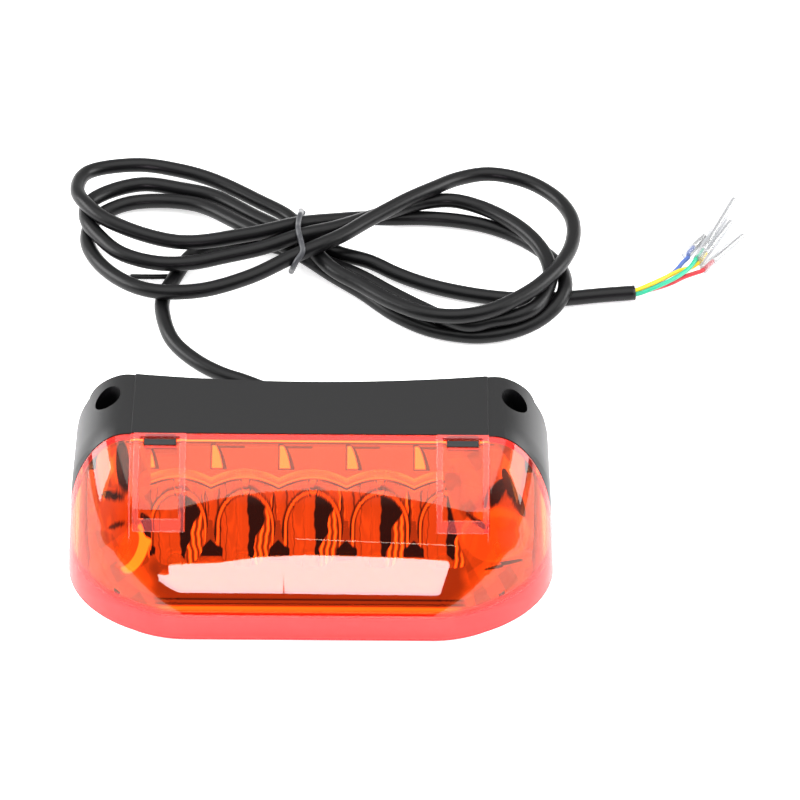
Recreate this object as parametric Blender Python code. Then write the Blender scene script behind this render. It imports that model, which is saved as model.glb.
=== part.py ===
"""Rear lamp with a red lens: the assembly as separate parts, in metres.

Frame: the lamp lies on its flat mounting back at z = 0, centred on x = 0. +Z points away from the
mounting face, -Y is the lens side and +Y the cable side. The cable lies on the plane z = 0.
"""
import math

import bmesh
import bpy
import numpy as np
from mathutils import Matrix, Vector

MM = 0.001

# ---- driving dimensions, in millimetres ----
HALF_WIDTH = 64.4             # centre line to the side of the lamp, at the height of the strip
SIDE_DRAFT = 0.07             # the sides lean out by this much for each mm downwards
TOP = 44.0                    # height of the flat strip above the mounting back
FACE_RADIUS = 63.0            # radius of the lens's curved face, seen from the side
FACE_LOW = 23.5               # elevation of the face's normal at the rim, degrees
FACE_HIGH = 69.6              # and at the strip
LOW_ROUND = (31.0, 31.0)      # end rounding at the rim: along x, and inwards
HIGH_ROUND = (15.0, 20.0)     # end rounding at the strip
BAND_HALF = 48.4              # half width of the raised band
BAND_STEP = 0.4               # how far the band stands above the shoulders
BAND_FADE = (41.0, 46.0)      # the step fades out between these elevations of the face

REAR_MID = 20.6               # y of the rear wall at the centre: the wall is hollow in plan
REAR_END = 24.2               # and at the ears
EAR_HALF = 62.4               # half width of the ears, behind the wings
WING_END = 21.4               # y where the side steps in from wing to ear
EAR_CORNER = 2.7              # plan radius of the ear's rear corner

FORM_FOOT = -5.0              # the solid form reaches below the back, to be cut off there

WALL = 2.5                    # housing and lens wall
GAP = 0.3                     # clearance between neighbouring parts
PARTING_FLAT = 50.0           # the parting line is straight up to this |x|
PARTING_LEAD = 3.0            # and comes forward by this much at the sides

HOLE_X = 56.0                 # mounting screw tunnels
HOLE_Y = 15.9
HOLE_MOUTH_R = 3.6
HOLE_SCREW_R = 2.3
HOLE_FLOOR = 6.0              # height of the seat that the screw's head lands on
BOSS_R = 5.6

CUPS = 5
CUP_PITCH = 18.4
CUP_R = 8.6                   # mouth radius of a cup, seen along its axis
CUP_Y = -17.3                 # y of the cups' axes
CUP_FLOOR = 9.5               # height of the cups' floors
MIRROR_INSET = 5.2            # lens surface to mirror surface
MIRROR_SKIN = 1.4

BOARD = (106.0, 18.0, 1.6)    # length, depth, thickness
BOARD_Y = -15.0
BOARD_Z = 5.2
LED_R = 2.5

CABLE_R = 2.25
CORE_R = 0.6
SLEEVE_R = 1.6
EXIT_X = 2.0
EXIT_Z = 9.0
HANK_HEIGHT = 14.2

# The lead's own points, in millimetres: out of the grommet and along the table to the hank.
LEAD_ROUTE = [
    (2.0, 27.3, 9.0), (1.9, 30.5, 8.9), (1.6, 34.0, 8.4), (0.3, 39.5, 7.0), (-2.8, 46.0, 5.0), (-7.2, 53.0, 3.3),
    (-12.6, 59.0, 2.5), (-18.7, 63.3, 2.3), (-26.8, 66.9, 2.3), (-35.2, 72.4, 2.3), (-42.0, 80.6, 2.3),
    (-45.6, 89.0, 2.3), (-46.1, 93.5, 2.3), (-46.1, 96.3, 2.3),
]
# The tail's points: out of the hank and to the stripped end.
TAIL_ROUTE = [
    (81.4, 101.3, 2.3), (85.0, 101.5, 2.3), (88.5, 101.9, 2.3), (92.0, 102.6, 2.3), (95.2, 103.4, 2.4),
]
# Outline of the hank, seen from above, anticlockwise from its right end.
HANK_OUTLINE = [
    (81.0, 128.0), (78.0, 143.0), (70.5, 154.0), (56.0, 159.0), (38.0, 156.5), (22.0, 149.0),
    (6.0, 138.5), (-6.0, 138.5), (-20.0, 148.0), (-34.0, 157.5), (-52.0, 162.5), (-68.0, 161.0),
    (-79.0, 152.0), (-80.0, 140.0), (-77.0, 122.0), (-71.0, 108.0), (-60.0, 100.0), (-50.0, 97.0),
    (-38.0, 96.5), (-22.0, 101.5), (-8.0, 109.0), (3.0, 103.5), (16.0, 91.0), (32.0, 81.5),
    (50.0, 77.5), (64.0, 81.0), (76.0, 90.5), (81.0, 103.0),
]

# Each conductor's points from the jacket to the mouth of its sleeve, and the sleeve's length.
WIRE_ENDS = {
    "blue": ([(95.7, 104.3, 1.45), (100.0, 108.2, 1.1), (104.0, 112.2, 0.9), (107.2, 115.8, 1.2),
              (109.0, 118.2, 1.8)], 20.0),
    "yellow": ([(95.7, 104.3, 3.05), (100.0, 107.5, 2.6), (104.5, 110.7, 1.6), (109.0, 113.2, 0.9),
                (113.0, 115.0, 1.3), (116.1, 116.6, 1.8)], 21.0),
    "green": ([(95.9, 102.8, 3.1), (100.0, 105.1, 3.0), (104.5, 108.5, 2.9), (108.4, 112.7, 2.7),
               (111.0, 116.2, 2.3), (113.0, 119.2, 1.8)], 26.0),
    "red": ([(95.9, 102.8, 1.45), (101.0, 104.1, 0.9), (106.0, 106.7, 0.8), (111.0, 109.6, 0.9),
             (115.0, 111.6, 1.3), (118.0, 113.2, 1.8)], 21.0),
}
# Where each sleeve's axis points.
SLEEVE_TIPS = {
    "blue": (117.0, 136.0, 1.8), "yellow": (126.8, 135.0, 1.8), "green": (124.6, 144.8, 1.8),
    "red": (131.0, 129.4, 1.8),
}


# ---- small helpers ----
def material(name, colour, roughness, metallic=0.0, transmission=0.0):
    """One Principled material for one part."""
    made = bpy.data.materials.new(name)
    made.use_nodes = True
    shader = made.node_tree.nodes["Principled BSDF"]
    shader.inputs["Base Color"].default_value = (*colour, 1.0)
    shader.inputs["Roughness"].default_value = roughness
    shader.inputs["Metallic"].default_value = metallic
    shader.inputs["Transmission Weight"].default_value = transmission
    made.diffuse_color = (*colour, 1.0)
    return made


def mesh_object(name, points, faces, finish=None):
    """An object from points in millimetres, its faces turned outwards."""
    mesh = bpy.data.meshes.new(name)
    mesh.from_pydata([tuple(MM * value for value in point) for point in points], [], faces)
    shell = bmesh.new()
    shell.from_mesh(mesh)
    bmesh.ops.recalc_face_normals(shell, faces=shell.faces)
    shell.to_mesh(mesh)
    shell.free()
    made = bpy.data.objects.new(name, mesh)
    bpy.context.collection.objects.link(made)
    if finish:
        mesh.materials.append(finish)
    return made


def place(made, location):
    """Put an object at a place given in millimetres."""
    made.location = Vector(location) * MM
    return made


def settle(made):
    """Take an object's place and modifiers into its mesh."""
    bpy.context.view_layer.update()
    graph = bpy.context.evaluated_depsgraph_get()
    mesh = bpy.data.meshes.new_from_object(made.evaluated_get(graph))
    mesh.transform(made.matrix_world)
    made.modifiers.clear()
    made.data = mesh
    made.matrix_world = Matrix.Identity(4)
    return made


def combine(made, tool, operation):
    """Boolean with a tool that is used up: DIFFERENCE, UNION or INTERSECT."""
    settle(tool)
    step = made.modifiers.new("step", "BOOLEAN")
    step.operation = operation
    step.solver = "EXACT"
    step.object = tool
    settle(made)
    bpy.data.objects.remove(tool)
    return made


def prism(name, outline, low, high, finish=None):
    """An outline in plan, given a height."""
    count = len(outline)
    points = [(x, y, low) for x, y in outline] + [(x, y, high) for x, y in outline]
    faces = [list(range(count))[::-1], list(range(count, 2 * count))]
    for i in range(count):
        j = (i + 1) % count
        faces.append([i, j, count + j, count + i])
    return mesh_object(name, points, faces, finish)


def block(name, low, high, finish=None):
    """A rectangular block between two corners."""
    outline = [(low[0], low[1]), (high[0], low[1]), (high[0], high[1]), (low[0], high[1])]
    return prism(name, outline, low[2], high[2], finish)


def turned(name, profile, sides, finish=None):
    """A solid of revolution about +Z from (radius, height) pairs, closed on its axis."""
    points = [(0.0, 0.0, profile[0][1])]
    for radius, height in profile:
        for k in range(sides):
            angle = 2 * math.pi * k / sides
            points.append((radius * math.cos(angle), radius * math.sin(angle), height))
    points.append((0.0, 0.0, profile[-1][1]))
    faces = []
    for k in range(sides):
        nxt = (k + 1) % sides
        faces.append([0, 1 + nxt, 1 + k])
        for row in range(len(profile) - 1):
            a = 1 + row * sides
            faces.append([a + k, a + nxt, a + sides + nxt, a + sides + k])
        last = 1 + (len(profile) - 1) * sides
        faces.append([last + k, last + nxt, len(points) - 1])
    return mesh_object(name, points, faces, finish)


def smooth_route(points, spacing):
    """Points every `spacing` mm along a smooth curve through the given points."""
    knots = np.array(points, float)
    padded = np.vstack([2 * knots[0] - knots[1], knots, 2 * knots[-1] - knots[-2]])
    fine = []
    for i in range(len(knots) - 1):
        p0, p1, p2, p3 = padded[i:i + 4]
        for t in np.linspace(0.0, 1.0, 24, endpoint=False):
            fine.append(0.5 * (2 * p1 + (p2 - p0) * t + (2 * p0 - 5 * p1 + 4 * p2 - p3) * t ** 2
                               + (3 * p1 - p0 - 3 * p2 + p3) * t ** 3))
    fine = np.array(fine + [knots[-1]])
    along = np.concatenate([[0.0], np.cumsum(np.linalg.norm(np.diff(fine, axis=0), axis=1))])
    count = max(2, round(along[-1] / spacing) + 1)
    stations = np.linspace(0.0, along[-1], count)
    return np.stack([np.interp(stations, along, fine[:, axis]) for axis in range(3)], axis=1)


def tube(name, points, radius, spacing, finish, resolution=2):
    """A cord as a bevelled curve with filled ends."""
    curve = bpy.data.curves.new(name, "CURVE")
    curve.dimensions = "3D"
    curve.bevel_depth = radius * MM
    curve.bevel_resolution = resolution
    curve.use_fill_caps = True
    route = smooth_route(points, spacing)
    spline = curve.splines.new("POLY")
    spline.points.add(len(route) - 1)
    for knot, place_mm in zip(spline.points, route):
        knot.co = (*(place_mm * MM), 1.0)
    made = bpy.data.objects.new(name, curve)
    bpy.context.collection.objects.link(made)
    curve.materials.append(finish)
    return made


# ---- the lamp's outer form ----
def direction(degrees):
    """Unit vector in the side view, at an elevation above the forward direction."""
    return np.array([-math.cos(math.radians(degrees)), math.sin(math.radians(degrees))])


def section_rows(inset):
    """Rows from the rim over the face to the rear: point, way the end rounding pulls, its reach, step."""
    centre = np.array([0.0, TOP]) - FACE_RADIUS * direction(FACE_HIGH)
    rows = []
    for share in np.linspace(0.0, 1.0, 11):
        elevation = FACE_LOW + (FACE_HIGH - FACE_LOW) * share
        pull = direction(FACE_LOW + (90.0 - FACE_LOW) * share)
        reach = [low + (high - low) * share for low, high in zip(LOW_ROUND, HIGH_ROUND)]
        fade = (elevation - BAND_FADE[0]) / (BAND_FADE[1] - BAND_FADE[0])
        step = BAND_STEP * min(1.0, max(0.0, fade))
        rows.append((centre + direction(elevation) * (FACE_RADIUS - inset), pull, reach, step))
    for y in (10.0, 32.0 + inset):
        rows.append((np.array([y, TOP - inset]), direction(90.0), HIGH_ROUND, BAND_STEP))
    return rows


def form(name, inset, finish=None):
    """The lamp's form, set in by `inset`, as a closed solid that runs past the back and the base."""
    half = HALF_WIDTH - inset
    side = half * np.sin(np.radians([52.0, 58.0, 64.0, 70.0, 76.0, 82.0, 87.0]))
    right = np.concatenate([[0.0, 20.0, 34.0, 41.0, BAND_HALF, BAND_HALF + 0.3], side, [half]])
    right = np.sort(right)
    columns = np.concatenate([-right[:0:-1], right])
    rows = section_rows(inset)
    grid = []
    for point, pull, (along, inwards), step in rows:
        over = np.clip((np.abs(columns) - (HALF_WIDTH - along)) / (along - inset), 0.0, 1.0)
        drop = (inwards - inset) * (1.0 - np.sqrt(1.0 - over ** 2))
        drop = drop + step * (np.abs(columns) > BAND_HALF + 0.1)
        grid.append(np.stack([columns, point[0] - pull[0] * drop, point[1] - pull[1] * drop], axis=1))
    foot = grid[0].copy()
    rear = grid[-1].copy()
    for row in (foot, rear):
        row[:, 2] = FORM_FOOT - inset
    grid = np.array([foot] + grid + [rear])
    share = np.clip((np.abs(columns) - BAND_HALF - 0.3) / (half - BAND_HALF - 0.3), 0.0, 1.0)
    grid[:, :, 0] += np.sign(columns) * SIDE_DRAFT * (TOP - grid[:, :, 2]) * share
    count, width = grid.shape[:2]
    faces = []
    for i in range(count - 1):
        for j in range(width - 1):
            a = i * width + j
            faces += [[a, a + 1, a + width + 1], [a, a + width + 1, a + width]]
    faces.append([i * width for i in range(count)])
    faces.append([i * width + width - 1 for i in range(count)][::-1])
    faces.append(list(range(width)) + [(count - 1) * width + j for j in range(width)][::-1])
    return mesh_object(name, grid.reshape(-1, 3), faces, finish)


def parting_y(x):
    """y of the joint between lens and housing at a given x."""
    over = max(0.0, abs(x) - PARTING_FLAT) / (HALF_WIDTH - PARTING_FLAT)
    return -PARTING_LEAD * over ** 2


def front_outline(shift):
    """Everything in front of the parting line, moved by `shift` along y."""
    xs = [-70.0, -65.0, -62.0, -58.0, -54.0, -50.0, 50.0, 54.0, 58.0, 62.0, 65.0, 70.0]
    return [(-70.0, -60.0), (70.0, -60.0)] + [(x, parting_y(x) + shift) for x in xs[::-1]]


def rear_y(x):
    """y of the hollow rear wall at a given x."""
    return REAR_MID + (REAR_END - REAR_MID) * min(1.0, abs(x) / 52.0) ** 2


def housing_outline(inset):
    """The housing's outline in plan: wings, ears and the hollow rear wall, set in by `inset`."""
    ear = EAR_HALF - inset
    radius = max(EAR_CORNER - inset, 0.2)
    end = REAR_END - inset
    step = WING_END - inset
    right = [(70.0, -60.0), (70.0, step - 1.5), (HALF_WIDTH - inset + 0.6, step - 1.2)]
    right += [(HALF_WIDTH - inset - 0.4, step), (ear, step + 0.05)]
    for k in range(6):
        angle = math.radians(18.0 * k)
        right.append((ear - radius + radius * math.cos(angle), end - radius + radius * math.sin(angle)))
    middle = [(x, rear_y(x) - inset) for x in np.linspace(50.0, -50.0, 15)]
    left = [(-x, y) for x, y in right[::-1]]
    return right + middle + left


# ---- casing ----
def build_housing(finish):
    """Top strip, ears, wings, rear wall and the base plate under the lens, as one moulding."""
    housing = form("housing", 0.0, finish)
    combine(housing, prism("rear_part", housing_outline(0.0), 0.0, 60.0), "INTERSECT")
    combine(housing, prism("lens_room", front_outline(GAP / 2), -10.0, 60.0), "DIFFERENCE")
    cavity = form("cavity", WALL)
    combine(cavity, prism("cavity_plan", housing_outline(WALL), WALL, 60.0), "INTERSECT")
    combine(housing, cavity, "DIFFERENCE")
    plate = form("plate", WALL + GAP)
    combine(plate, prism("plate_slab", front_outline(4.0), 0.0, WALL), "INTERSECT")
    combine(housing, plate, "UNION")
    for sign in (-1, 1):
        boss = form("boss", 0.2)
        combine(boss, prism("boss_plan", housing_outline(0.3), 0.1, 60.0), "INTERSECT")
        inner, outer = sorted((sign * (HOLE_X - BOSS_R), sign * 70.0))
        combine(boss, block("corner", (inner, HOLE_Y - BOSS_R, 0.2), (outer, 40.0, 50.0)), "INTERSECT")
        combine(housing, boss, "UNION")
        steps = [(HOLE_SCREW_R, -5.0), (HOLE_SCREW_R, HOLE_FLOOR), (HOLE_MOUTH_R, HOLE_FLOOR), (HOLE_MOUTH_R, 60.0)]
        tunnel = turned("tunnel", steps, 20)
        combine(housing, place(tunnel, (sign * HOLE_X, HOLE_Y, 0.0)), "DIFFERENCE")
        stand = turned("stand", [(2.6, 1.0), (2.6, BOARD_Z - GAP)], 12)
        combine(housing, place(stand, (sign * 44.0, BOARD_Y, 0.0)), "UNION")
        pilot = turned("pilot", [(1.4, 1.2), (1.4, 30.0)], 10)
        combine(housing, place(pilot, (sign * 44.0, BOARD_Y, 0.0)), "DIFFERENCE")
    bore = turned("bore", [(3.9, -8.0), (3.9, 8.0)], 16)
    bore.rotation_euler = (math.radians(90.0), 0.0, 0.0)
    combine(housing, place(bore, (EXIT_X, REAR_MID, EXIT_Z)), "DIFFERENCE")
    return housing


def patch(name, low_x, high_x, low_deg, high_deg, outside, inside):
    """A block of the curved face between two x, two elevations and two heights off the face."""
    centre = (FACE_RADIUS * math.cos(math.radians(FACE_HIGH)),
              TOP - FACE_RADIUS * math.sin(math.radians(FACE_HIGH)))
    outline = []
    for offset, angles in ((outside, np.linspace(low_deg, high_deg, 8)), (inside, np.linspace(high_deg, low_deg, 8))):
        for elevation in np.radians(angles):
            radius = FACE_RADIUS + offset
            outline.append((centre[0] - radius * math.cos(elevation), centre[1] + radius * math.sin(elevation)))
    count = len(outline)
    points = [(low_x, y, z) for y, z in outline] + [(high_x, y, z) for y, z in outline]
    faces = [list(range(count)), list(range(count, 2 * count))[::-1]]
    for i in range(count):
        j = (i + 1) % count
        faces.append([i, count + i, count + j, j])
    return mesh_object(name, points, faces)


def build_lens(finish):
    """The lens shell: open at the base and at the parting line, with two raised latch frames."""
    lens = form("lens", 0.0, finish)
    for sign in (-1, 1):
        middle = sign * 41.2
        combine(lens, patch("frame", middle - 6.9, middle + 6.9, 45.0, 69.2, 0.7, -1.0), "UNION")
        combine(lens, patch("pocket", middle - 5.3, middle + 5.3, 48.0, 68.2, 3.0, 0.05), "DIFFERENCE")
    combine(lens, form("inside", WALL), "DIFFERENCE")
    combine(lens, prism("front_part", front_outline(-GAP / 2), GAP, 60.0), "INTERSECT")
    for sign in (-1, 1):
        middle = sign * 41.2
        combine(lens, patch("slot", middle - 4.5, middle + 4.5, 66.0, 68.0, 3.0, -4.0), "DIFFERENCE")
    return lens


def build_seal(finish):
    """Soft seal behind the joint between lens and housing."""
    seal = form("lens_seal", WALL + GAP, finish)
    combine(seal, form("seal_inside", WALL + GAP + 1.1), "DIFFERENCE")
    combine(seal, prism("seal_front", front_outline(1.6), WALL + GAP, 60.0), "INTERSECT")
    combine(seal, prism("seal_back", front_outline(-1.6), -1.0, 61.0), "DIFFERENCE")
    return seal


# ---- light unit ----
def cup_centres():
    """x of each cup, left to right."""
    return [CUP_PITCH * (i - (CUPS - 1) / 2) for i in range(CUPS)]


def cups(name, extra, floor):
    """The row of cups as one solid: paraboloids up to the mouth radius, then straight up."""
    row = None
    for i, x in enumerate(cup_centres()):
        profile = []
        for share in (0.0, 0.35, 0.6, 0.8, 1.0):
            profile.append((3.0 + extra + (CUP_R - 3.0) * math.sqrt(share), floor + 13.0 * share))
        profile.append((CUP_R + extra, 60.0 + i))
        single = place(turned(name, profile, 20), (x, CUP_Y, 0.0))
        row = combine(row, single, "UNION") if row else settle(single)
    return row


def build_reflector(finish):
    """Metallised deck that follows the lens, with a row of upright cups sunk into it."""
    reflector = form("reflector", MIRROR_INSET, finish)
    combine(reflector, form("deck_under", MIRROR_INSET + MIRROR_SKIN), "DIFFERENCE")
    combine(reflector, prism("deck_plan", front_outline(-3.5), CUP_FLOOR, 60.0), "INTERSECT")
    bowls = cups("bowls", MIRROR_SKIN, CUP_FLOOR - 1.2)
    combine(bowls, form("under_lens", MIRROR_INSET + 0.7), "INTERSECT")
    combine(reflector, bowls, "UNION")
    combine(reflector, cups("mirrors", 0.0, CUP_FLOOR), "DIFFERENCE")
    for x in cup_centres():
        hole = turned("hole", [(LED_R + 0.3, 0.0), (LED_R + 0.3, CUP_FLOOR + 2.0)], 16)
        combine(reflector, place(hole, (x, CUP_Y, 0.0)), "DIFFERENCE")
    for sign in (-1, 1):
        hole = turned("hole", [(LED_R + 0.3, 0.0), (LED_R + 0.3, 60.0)], 16)
        combine(reflector, place(hole, (sign * 50.0, BOARD_Y + 4.0, 0.0)), "DIFFERENCE")
    return reflector


def build_board(finish):
    """Circuit board on its two posts."""
    length, depth, thickness = BOARD
    low = (-length / 2, BOARD_Y - depth / 2, BOARD_Z)
    high = (length / 2, BOARD_Y + depth / 2, BOARD_Z + thickness)
    board = block("circuit_board", low, high, finish)
    for sign in (-1, 1):
        hole = turned("hole", [(1.7, 0.0), (1.7, 20.0)], 12)
        combine(board, place(hole, (sign * 44.0, BOARD_Y, 0.0)), "DIFFERENCE")
    return board


def build_leds(clear):
    """A domed LED in each cup and one behind each end facet."""
    seat = BOARD_Z + BOARD[2] + GAP
    dome = [(LED_R + 0.25, 0.0), (LED_R + 0.25, 1.0), (LED_R, 1.0), (LED_R, 4.6)]
    dome += [(LED_R * math.cos(math.radians(a)), 4.6 + LED_R * math.sin(math.radians(a))) for a in (25, 50, 72)]
    for i, x in enumerate(cup_centres()):
        seat_it = place(turned("led_%d" % (i + 1), [(r * 0.98, h) for r, h in dome], 14, clear), (x, CUP_Y, seat))
        settle(seat_it)
    for sign, side in ((-1, "left"), (1, "right")):
        lamp = turned("side_led_" + side, [(r * 0.98, h) for r, h in dome], 14, clear)
        settle(place(lamp, (sign * 50.0, BOARD_Y + 4.0, seat)))


def build_small_parts(finishes):
    """Resistors, rectifier, capacitor and screws on the board."""
    seat = BOARD_Z + BOARD[2] + GAP
    for i, x in enumerate((-27.3, -9.1, 9.1, 27.3)):
        low = (x - 1.6, BOARD_Y + 7.0, seat)
        block("resistor_%d" % (i + 1), low, (x + 1.6, BOARD_Y + 9.0, seat + 0.7), finishes["resistor"])
    under = BOARD_Z - GAP
    block("rectifier", (18.0, BOARD_Y - 3.0, under - 1.7), (22.5, BOARD_Y + 0.5, under), finishes["rectifier"])
    block("driver_chip", (-14.0, BOARD_Y - 2.0, under - 1.6), (-9.0, BOARD_Y + 2.0, under), finishes["rectifier"])
    for sign, side in ((-1, "left"), (1, "right")):
        head = [(1.25, 0.0), (1.25, 5.0), (2.6, 5.0), (2.6, 5.9), (1.6, 6.7)]
        screw = turned("board_screw_" + side, head, 12, finishes["screw"])
        settle(place(screw, (sign * 44.0, BOARD_Y, seat - 5.0)))


# ---- cable ----
def build_grommet(finish):
    """Tapered strain relief with a groove that the rear wall sits in."""
    profile = [(4.9, -3.4), (4.9, -0.4), (3.6, -0.4), (3.6, 2.9), (4.9, 2.9), (4.9, 4.2), (4.3, 4.6)]
    profile += [(3.9, 6.6), (3.4, 6.6), (3.7, 7.4), (3.3, 8.8)]
    grommet = turned("cable_grommet", profile, 16, finish)
    grommet.rotation_euler = (math.radians(-90.0), 0.0, 0.0)
    settle(place(grommet, (EXIT_X, rear_y(EXIT_X) - WALL, EXIT_Z)))
    return grommet


def build_cable(finishes):
    """Lead, hank and tail of the cable, with the wire tie over the hank."""
    cover = finishes["jacket"]
    tube("cable_lead", LEAD_ROUTE, CABLE_R, 6.0, cover)
    tube("cable_tail", TAIL_ROUTE, CABLE_R, 5.0, cover)
    prism("cable_hank", HANK_OUTLINE, 0.05, HANK_HEIGHT, cover)
    strap = block("twist_tie", (-6.6, 103.0, 0.3), (-4.2, 141.0, HANK_HEIGHT + 2.0), finishes["tie"])
    combine(strap, prism("room", HANK_OUTLINE, -1.0, HANK_HEIGHT + GAP), "DIFFERENCE")


def lay(made, start, heading):
    """Lay a turned piece on its side, its foot at `start` and its axis along `heading` degrees."""
    made.rotation_euler = (0.0, math.radians(90.0), math.radians(heading))
    return settle(place(made, start))


def pipe(name, outer, inner, length, sides, finish):
    """An open sleeve along +Z."""
    sleeve = turned(name, [(outer, 0.0), (outer, length)], sides, finish)
    return combine(sleeve, turned("bore", [(inner, -1.0), (inner, length + 1.0)], sides), "DIFFERENCE")


def build_wire_ends(finishes):
    """Each conductor with its crimped terminal inside a clear sleeve."""
    for colour, (route, length) in WIRE_ENDS.items():
        entry, tip = np.array(route[-1]), np.array(SLEEVE_TIPS[colour])
        way = (tip - entry) / np.linalg.norm(tip - entry)
        heading = math.degrees(math.atan2(way[1], way[0]))
        inside = [tuple(entry + way * depth) for depth in (1.5, 3.0, 4.5)]
        tube("conductor_" + colour, route + inside, CORE_R, 2.2, finishes[colour])
        sleeve = pipe("sleeve_" + colour, SLEEVE_R, SLEEVE_R - 0.35, length, 12, finishes["sleeve"])
        lay(sleeve, entry + way * 0.6, heading)
        profile = [(0.95, 0.0), (0.95, 5.0), (0.6, 5.6), (0.6, 6.4), (1.05, 7.0), (1.05, length - 7.0)]
        lay(turned("terminal_" + colour, profile, 10, finishes["terminal"]), entry + way * 4.9, heading)


def build_inner_wires(finishes):
    """The cores inside the housing, from the grommet to the board's rear edge."""
    start_y = rear_y(EXIT_X) - WALL - 3.8
    for i, colour in enumerate(WIRE_ENDS):
        side, level = 0.9 if i % 2 else -0.9, 0.9 if i // 2 else -0.9
        pad = -3.0 + 2.0 * i
        route = [(EXIT_X + side, start_y, EXIT_Z + level), (EXIT_X + side, start_y - 4.0, EXIT_Z + level)]
        route += [(0.5 * (EXIT_X + side + pad), 3.0, EXIT_Z - 0.5 + 0.6 * level), (pad, -4.0, 8.0), (pad, -8.5, 7.7)]
        tube("inner_wire_" + colour, route, 0.5, 4.0, finishes[colour])


# ---- assembly ----
def main():
    for old in list(bpy.data.objects):
        bpy.data.objects.remove(old, do_unlink=True)
    finishes = {
        "housing": material("black_abs", (0.035, 0.036, 0.038), 0.5),
        "lens": material("red_polycarbonate", (0.75, 0.03, 0.01), 0.08, 0.0, 0.8),
        "mirror": material("metallised_mirror", (0.8, 0.8, 0.8), 0.08, 1.0),
        "seal": material("seal_rubber", (0.02, 0.02, 0.02), 0.8),
        "board": material("board_laminate", (0.02, 0.16, 0.06), 0.45),
        "clear": material("clear_epoxy", (0.85, 0.87, 0.9), 0.1, 0.0, 0.6),
        "resistor": material("resistor_body", (0.03, 0.03, 0.035), 0.5),
        "rectifier": material("chip_body", (0.02, 0.02, 0.02), 0.6),
        "screw": material("plated_screw", (0.6, 0.6, 0.58), 0.35, 1.0),
        "grommet": material("grommet_rubber", (0.03, 0.03, 0.03), 0.7),
        "jacket": material("jacket_pvc", (0.02, 0.021, 0.023), 0.45),
        "tie": material("tie_pvc", (0.09, 0.09, 0.09), 0.5),
        "blue": material("core_blue", (0.12, 0.25, 0.6), 0.4),
        "yellow": material("core_yellow", (0.85, 0.7, 0.03), 0.4),
        "green": material("core_green", (0.04, 0.55, 0.3), 0.4),
        "red": material("core_red", (0.65, 0.04, 0.04), 0.4),
        "terminal": material("tinned_brass", (0.75, 0.72, 0.65), 0.3, 1.0),
        "sleeve": material("clear_pvc", (0.9, 0.9, 0.88), 0.15, 0.0, 0.85),
    }
    build_housing(finishes["housing"])
    build_lens(finishes["lens"])
    build_seal(finishes["seal"])
    build_reflector(finishes["mirror"])
    build_board(finishes["board"])
    build_leds(finishes["clear"])
    build_small_parts(finishes)
    build_grommet(finishes["grommet"])
    build_cable(finishes)
    build_wire_ends(finishes)
    build_inner_wires(finishes)


main()
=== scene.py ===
# %% [markdown]
# # A red LED tail light and its coiled lead
# This lesson builds the looks of a small rear light around its CAD model: a black housing, a red
# wraparound lens, a mirror deck with a row of cups behind it, and a cable tied into a figure of eight.
# Lengths are in millimetres while shapes are worked out, and in metres once they are in the scene.

# %% Start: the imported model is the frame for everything
import math

import bmesh
import bpy
import numpy as np
from mathutils import Matrix, Vector


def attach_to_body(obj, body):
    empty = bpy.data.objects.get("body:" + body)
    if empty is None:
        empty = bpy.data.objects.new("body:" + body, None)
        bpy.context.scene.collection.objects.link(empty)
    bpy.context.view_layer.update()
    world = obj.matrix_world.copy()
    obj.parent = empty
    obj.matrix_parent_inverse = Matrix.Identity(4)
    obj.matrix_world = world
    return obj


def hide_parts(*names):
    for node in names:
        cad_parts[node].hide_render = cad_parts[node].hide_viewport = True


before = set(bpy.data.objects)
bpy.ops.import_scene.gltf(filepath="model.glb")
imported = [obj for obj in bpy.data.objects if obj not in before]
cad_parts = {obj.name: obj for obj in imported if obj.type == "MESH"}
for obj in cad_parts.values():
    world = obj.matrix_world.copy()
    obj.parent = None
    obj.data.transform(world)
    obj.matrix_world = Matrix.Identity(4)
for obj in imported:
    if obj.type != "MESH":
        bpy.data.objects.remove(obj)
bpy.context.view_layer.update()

MM = 0.001
print("CAD nodes:", len(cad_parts))

# %% [markdown]
# ## Helpers
# Every mesh below starts as one numpy array of points, and every material as a small node tree.

# %% Colours and node trees
def colour(code):
    """An sRGB hex code as linear RGBA. Each channel c becomes ((c + 0.055) / 1.055) to the power 2.4,
    or c / 12.92 where c is at most 0.04045."""
    channels = np.array([int(code[i:i + 2], 16) for i in (1, 3, 5)]) / 255.0
    linear = np.where(channels <= 0.04045, channels / 12.92, ((channels + 0.055) / 1.055) ** 2.4)
    return (*linear.tolist(), 1.0)


def add(tree, kind, inputs=None, **settings):
    """Add a node to a tree: `inputs` sets or links its sockets by name, and `settings` its own options."""
    made = tree.nodes.new("ShaderNode" + kind)
    for key, value in settings.items():
        setattr(made, key, value)
    for key, value in (inputs or {}).items():
        socket = made.inputs[key]
        if isinstance(value, bpy.types.NodeSocket):
            tree.links.new(value, socket)
        else:
            socket.default_value = value
    return made


def new_material(name):
    """An empty material and its tree, with the output node in place."""
    made = bpy.data.materials.new(name)
    made.use_nodes = True
    made.node_tree.nodes.clear()
    return made, made.node_tree, made.node_tree.nodes.new("ShaderNodeOutputMaterial")


print("lens red, linear:", [round(v, 3) for v in colour("#FF4600")])

# %% [markdown]
# ### Meshes
# A curved piece is a grid of points, so one function fills a mesh from whole arrays. A solid that is to be
# cut has faces of many corners, and a second function makes it from lists.

# %% Meshes from arrays and lists
def placed(name, mesh):
    """An object for a mesh, put in the scene."""
    made = bpy.data.objects.new(name, mesh)
    bpy.context.scene.collection.objects.link(made)
    return made


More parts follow.
